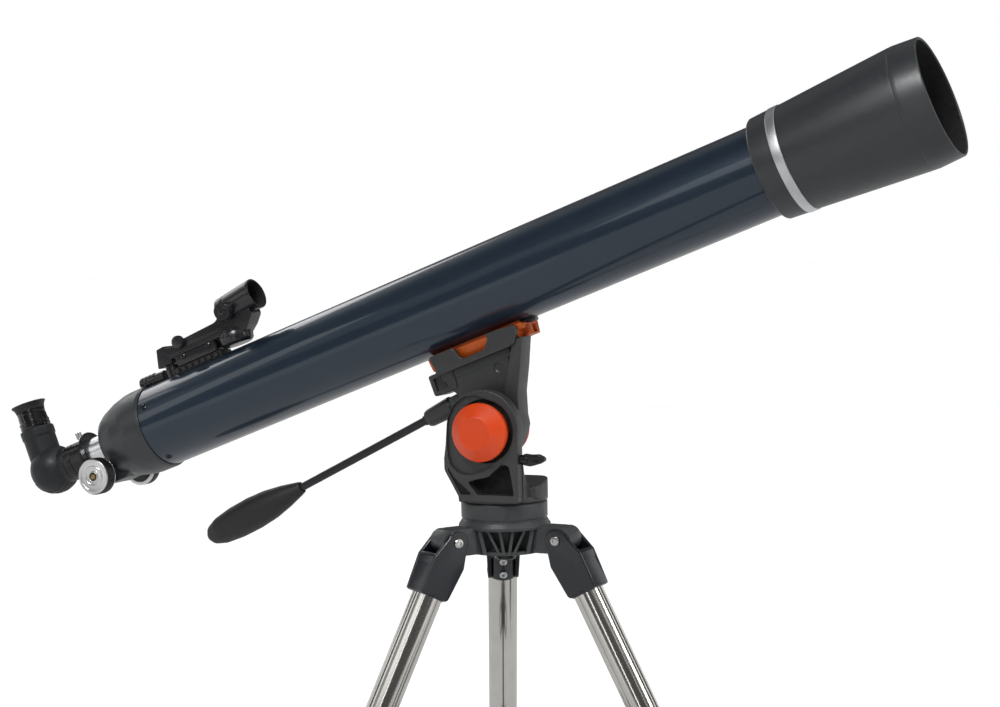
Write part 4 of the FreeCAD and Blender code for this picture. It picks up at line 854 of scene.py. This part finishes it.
def build_finder():
    tube_cut = turned([(-40, 0), (-40, 46.5), (200, 46.5), (200, 0)], 160)
    house_cut = turned([(-40, 0), (-40, 48.6), (0.4, 48.6), (0.4, 0)], 160)
    rail = prism([(44, 42), (109, 42), (109, 50.6, 1), (106, 52, 1), (47, 52, 1), (44, 50.6, 1)],
        -11, 11, 0.5)
    rail = shaped(rail, cuts=[tube_cut])
    bumps = []
    for number in range(7):
        centre = 49 + 9 * number
        for side in (-1, 1):
            bumps.append(prism([(centre - 2.6, 46.2), (centre + 2.6, 46.2),
                (centre + 1.9, 50.6, 1.2), (centre - 1.9, 50.6, 1.2)], side * 12.2 - 1.4,
                side * 12.2 + 1.4, 0.5))
    finish_piece("finder_base.rail", joined(rail, *bumps), TUBE, "finder_rail_grey")
    clamp = prism([(52, 52, 1.5), (105, 52, 1.5), (107, 58, 3), (105, 64, 2), (52, 64, 2),
        (50, 58, 3)], -13, 13, 1.3, segments=3)
    post = turned([(44, 0), (44, 9), (55, 9, 0.6), (56, 8, 0.6), (58.2, 8, 0.5), (58.2, 0)], 64,
        along="z")
    post.transform(place(36))
    rings = [(-9, 0)]
    for start in (-9, -3.6, 1.8, 7.2):
        rings += [(start, 6.9, 0.4), (start + 0.8, 8.2, 0.8), (start + 3.6, 8.2, 0.8),
            (start + 4.4, 6.9, 0.4)]
    wheel = turned([*rings, (24, 6.9), (24, 0)], 64)
    wheel.transform(place(z=50.3))
    lower = shaped(post, cuts=[tube_cut])
    roll = shaped(wheel, cuts=[tube_cut, house_cut])
    finish_piece("finder_base.clamp", joined(clamp, lower), TUBE, "finder_plastic", sharp=35)
    finish_piece("finder_base.wheel", roll, TUBE, "finder_plastic", sharp=50)
    for number, spot in enumerate((62.1, 96.9)):
        at = TUBE @ place(spot, -13, 60.6 if number == 0 else 61.2) @ place(axis="X", turn=90)
        screw_head(f"finder_base.screw_{number}", at, 3.4, 1.6, "collar_black", "hex")
    arm = prism([(45, 64.3, 1), (44, 59.5, 2), (24, 58.5, 1.5), (29.6, 79.6, 1.5), (40, 80.4, 1.5),
        (43, 76.4, 2), (56, 76.4, 3), (66, 79.4, 8), (115, 81.8, 12), (124, 92, 5), (140, 93.6, 8),
        (156, 90, 5), (162, 75, 6), (152.5, 65, 6), (143, 58.4, 5), (125, 60, 4), (112, 64.3, 3)],
        -11, 11, 2.4, segments=4)
    cheek = prism([(70, 69.4, 2), (72, 77.4, 2), (112, 78.6, 10), (118, 74, 4), (112, 71.4, 4)],
        -11.8, 11.8, 0.6, segments=3)
    line = [(56, 66.4), (68.2, 67.4), (92, 68.6), (116.7, 71.0), (132, 73.2), (142.1, 76.6),
        (151, 82.4), (158, 88.4)]
    above = [(a - 0.5, b + 1.1) for a, b in reversed(line)]
    ridge = prism([(*p, 3) for p in line + above], -12.6, 12.6, 0.4)
    cover = turned([(50.6, 0), (50.6, 15.6, 0.5), (53, 18.6, 3), (60, 19.6, 4), (64.6, 18.6, 2),
        (65.8, 16.6, 0.8), (66.6, 17.4, 0.4), (67.4, 16.4, 0.5), (67.4, 0)], 96, along="z")
    cover.transform(place(127))
    cover = shaped(cover, cuts=[tube_cut])
    peep_cut = turned([(105, 0), (105, 6), (140, 6), (140, 0)], 48)
    peep_cut.transform(place(z=91.4))
    sight_cut = moved(turned([(5, 0), (5, 12.8), (60, 15.4), (60, 0)], 64), place(*SIGHT_PLACE))
    arm = shaped(arm, cuts=[peep_cut, sight_cut])
    finish_piece("finder_body.arm", joined(arm, cheek, ridge, cover), TUBE, "finder_plastic",
        sharp=35)
    lathe("finder_body.sight", SIGHT, [(0, 12.8), (0, 14.4, 0.6), (1.2, 15.1, 0.6), (10, 15.5, 0.5),
        (10.6, 15.2, 0.3), (11.8, 15.2, 0.3), (12.4, 15.7, 0.5), (44, 17.0, 0.8), (46.4, 17.3, 0.6),
        (48.6, 17.2, 0.5), (49, 16.6, 0.4), (49, 15.3, 0.3), (5, 12.8)], "finder_plastic",
        closed=True, steps=128, sharp=50)
    lathe("finder_body.lining", SIGHT, [(6, 12.6), (6, 12.9), (48, 15.3), (48, 15.05)],
        "inner_black", closed=True, steps=96)
    lathe("finder_body.window", SIGHT, [(30, 0), (30, 13.9), (31.6, 14.0), (31.6, 0)], "lens_glass",
        steps=64)
    side = TUBE @ place(134.5, 0, 87.5)
    lathe("finder_side_knob.turned", side, [(-14.2, 0), (-14.2, 9.4, 0.4), (-16, 10.2, 0.6),
        (-20, 10.2, 0.4), (-20.4, 9.8, 0.2), (-20.8, 10.2, 0.3), (-24.2, 10.1, 0.6),
        (-25.0, 9.2, 0.5), (-25.0, 6.6, 0.4), (-24.2, 6.0, 0.3), (-24.2, 4.6, 0.3),
        (-25.2, 4.0, 0.4), (-25.4, 2.0, 0.3), (-24.2, 1.4, 0.2), (-24.2, 0)], along="y", steps=96)
    switch = TUBE @ place(62.3, 0, 77.5)
    knurl = prism(wavy(7.4, 0.4, 24, steps=4), -16.6, -11.4, 0.5)
    boss = turned([(-16.4, 0), (-16.4, 6.2), (-17.4, 5.8, 0.5), (-17.7, 2.6, 0.4),
        (-16.9, 1.6, 0.3), (-16.9, 0)], 64, along="y")
    finish_piece("finder_switch_knob.turned", joined(knurl, boss), switch, sharp=45)


build_hub()
for leg_name in LEGS:
    build_leg(leg_name)
build_brace()
build_fork()
build_lever()
build_axle()
build_arm()
build_handle()
build_tube()
build_bar()
build_focuser()
build_diagonal()
build_finder()


# The CAD objects get their finishes too, although a finer piece is shown in the place of each
for name, thing in nodes.items():
    thing.data.materials.clear()
    thing.data.materials.append(FINISH[slot_of(name)])
    for polygon in thing.data.polygons:
        polygon.use_smooth = True


# Stage, light and camera

def staged(name, mesh, mat):
    thing = linked(name, mesh)
    mesh.materials.append(mat)
    return thing


def sheet(name, corners, mat):
    mesh = bpy.data.meshes.new(name)
    mesh.from_pydata(corners, [], [(0, 1, 2, 3)])
    return staged(name, mesh, mat)


def rectangle(width, depth, level=0):
    return [(x * width / 2, y * depth / 2, level) for x, y in ((-1, -1), (1, -1), (1, 1), (-1, 1))]


pale = material("floor_pale", (0.96, 0.96, 0.96), 0.7, vary=0.01, cloud=400.0, specular=0.1)
sheet("floor", rectangle(90, 90), pale)


def glow_material(name, tone):
    mat = bpy.data.materials.new(name)
    mat.use_nodes = True
    tree = mat.node_tree
    tree.nodes.clear()
    out = tree.nodes.new("ShaderNodeOutputMaterial")
    glow = tree.nodes.new("ShaderNodeEmission")
    glow.inputs["Strength"].default_value = tone
    tree.links.new(glow.outputs["Emission"], out.inputs["Surface"])
    return mat


def only_reflected(thing):
    """Hide a thing from all but the reflections."""
    thing.visible_camera = False
    thing.visible_diffuse = False
    thing.visible_shadow = False
    thing.visible_transmission = False
    return thing


def aimed(centre, toward):
    """A place whose local -Z looks toward a point."""
    direction = Vector(toward) - Vector(centre)
    return Matrix.Translation(centre) @ direction.to_track_quat("-Z", "Y").to_matrix().to_4x4()


def card(name, centre, size, toward, tone):
    """A flat card that only shows in reflections."""
    thing = only_reflected(sheet(name, rectangle(*size), glow_material(name, tone)))
    thing.matrix_world = aimed(centre, toward)


def lamp(name, centre, toward, size, watts):
    data = bpy.data.lights.new(name, "AREA")
    data.shape = "RECTANGLE"
    data.size, data.size_y = size
    data.energy = watts
    linked(name, data).matrix_world = aimed(centre, toward)


def dome(radius, tone):
    """A glowing dome that only shows in reflections."""
    work = bmesh.new()
    bmesh.ops.create_icosphere(work, subdivisions=4, radius=radius)
    for vertex in list(work.verts):
        if vertex.co.z < -0.02 * radius:
            work.verts.remove(vertex)
    mesh = bpy.data.meshes.new("dome")
    work.to_mesh(mesh)
    work.free()
    return only_reflected(staged("dome", mesh, glow_material("dome", tone)))


middle = (0, 0, 0.85)
# The near dome keeps gloss dark between the lamps; the far one is the white that the camera sees
dome(9, 0.085)
backdrop = dome(40, 1.0)
backdrop.visible_camera = True
backdrop.visible_glossy = False
lamp("key", (-1.3, -2.3, 3.3), middle, (1.1, 0.9), 62)
lamp("fill", (2.8, -1.4, 1.7), middle, (0.8, 1.6), 22)
lamp("rim", (-1.8, 2.4, 2.3), middle, (2.2, 0.9), 9)
card("low_left", (-2.6, -1.3, 0.22), (2.2, 0.5), (0, 0, 0.22), 0.85)
card("side_right", (2.5, -0.9, 0.5), (1.7, 1.6), middle, 0.9)
card("high_left", (-2.4, -2.6, 2.6), (3.4, 1.0), middle, 0.34)
card("high_far_left", (-3.9, -1.0, 2.3), (2.6, 1.1), middle, 0.34)
card("shield_band", (-1.55, -2.0, 2.05), (1.3, 0.7), (0.68, -0.35, 1.2), 1.2)
card("eyepiece_strip", (-0.85, -2.75, 1.3), (0.22, 1.6), (-0.56, 0.25, 0.87), 2.6)
card("rear_band", (-2.1, 2.3, 2.1), (2.4, 1.3), (-0.3, 0.1, 0.95), 0.75)
card("high_right", (1.6, -2.9, 2.7), (2.2, 1.0), middle, 0.30)
card("strip_left", (-1.35, -2.9, 2.0), (0.16, 2.0), (0, 0, 0.6), 1.1)
card("stripe_a", (-2.3, -0.3, 0.9), (0.35, 2.2), (0, 0, 0.3), 1.3)
card("stripe_b", (-2.2, 0.9, 0.9), (0.30, 2.2), (0, 0, 0.3), 1.3)
card("stripe_c", (2.4, 0.3, 0.9), (0.35, 2.2), (0, 0, 0.3), 1.3)
card("strip_right", (1.5, -2.6, 2.0), (0.16, 2.0), (0, 0, 0.6), 1.1)
card("top_back", (0.2, 1.9, 3.3), (6.0, 1.4), middle, 0.2)
card("back_left", (-1.9, 2.2, 0.7), (1.6, 1.6), middle, 0.85)
card("back_right", (1.9, 2.2, 0.7), (1.6, 1.6), middle, 0.85)
only_reflected(sheet("ground_tone", rectangle(16, 16, 0.003), glow_material("ground_tone", 0.60)))
line_ends = [(-0.13, -5, LINE_LEVEL), (0.10, -5, LINE_LEVEL), (0.03, -0.02, LINE_LEVEL),
    (-0.04, -0.02, LINE_LEVEL)]
only_reflected(sheet("ground_line", line_ends, glow_material("ground_line", 0.05)))
spoke_ends = [(-0.30, -5, LINE_LEVEL), (0.30, -5, LINE_LEVEL), (0.05, -0.5, LINE_LEVEL),
    (-0.05, -0.5, LINE_LEVEL)]
for number, turn in enumerate((34, 62, 90)):
    corners = [(place(turn=turn) @ Vector(point))[:] for point in spoke_ends]
    only_reflected(sheet(f"ground_spoke_{number}", corners, glow_material("ground_spoke", 0.05)))
sun = bpy.data.lights.new("sun", "SUN")
sun.energy = 2.1
sun.angle = 0.9
linked("sun", sun).matrix_world = place(axis="Y", turn=24) @ place(axis="X", turn=14)

world = bpy.data.worlds.new("studio")
bpy.context.scene.world = world
world.use_nodes = True
background = world.node_tree.nodes["Background"]
background.inputs["Color"].default_value = (1, 1, 1, 1)
background.inputs["Strength"].default_value = 0.5

view = bpy.data.cameras.new("camera")
view.sensor_fit = "HORIZONTAL"
view.sensor_width = 36.0
view.lens = 76.27
view.shift_y = 0.0433
view.clip_end = 100
eye = linked("camera", view)
eye.matrix_world = (Matrix.Translation((-0.0753, -2.2026, 0.9687)) @ place(turn=-1.9)
    @ place(axis="X", turn=85.26) @ place(turn=-1.19))
bpy.context.scene.camera = eye
bpy.context.scene.view_settings.view_transform = "Standard"
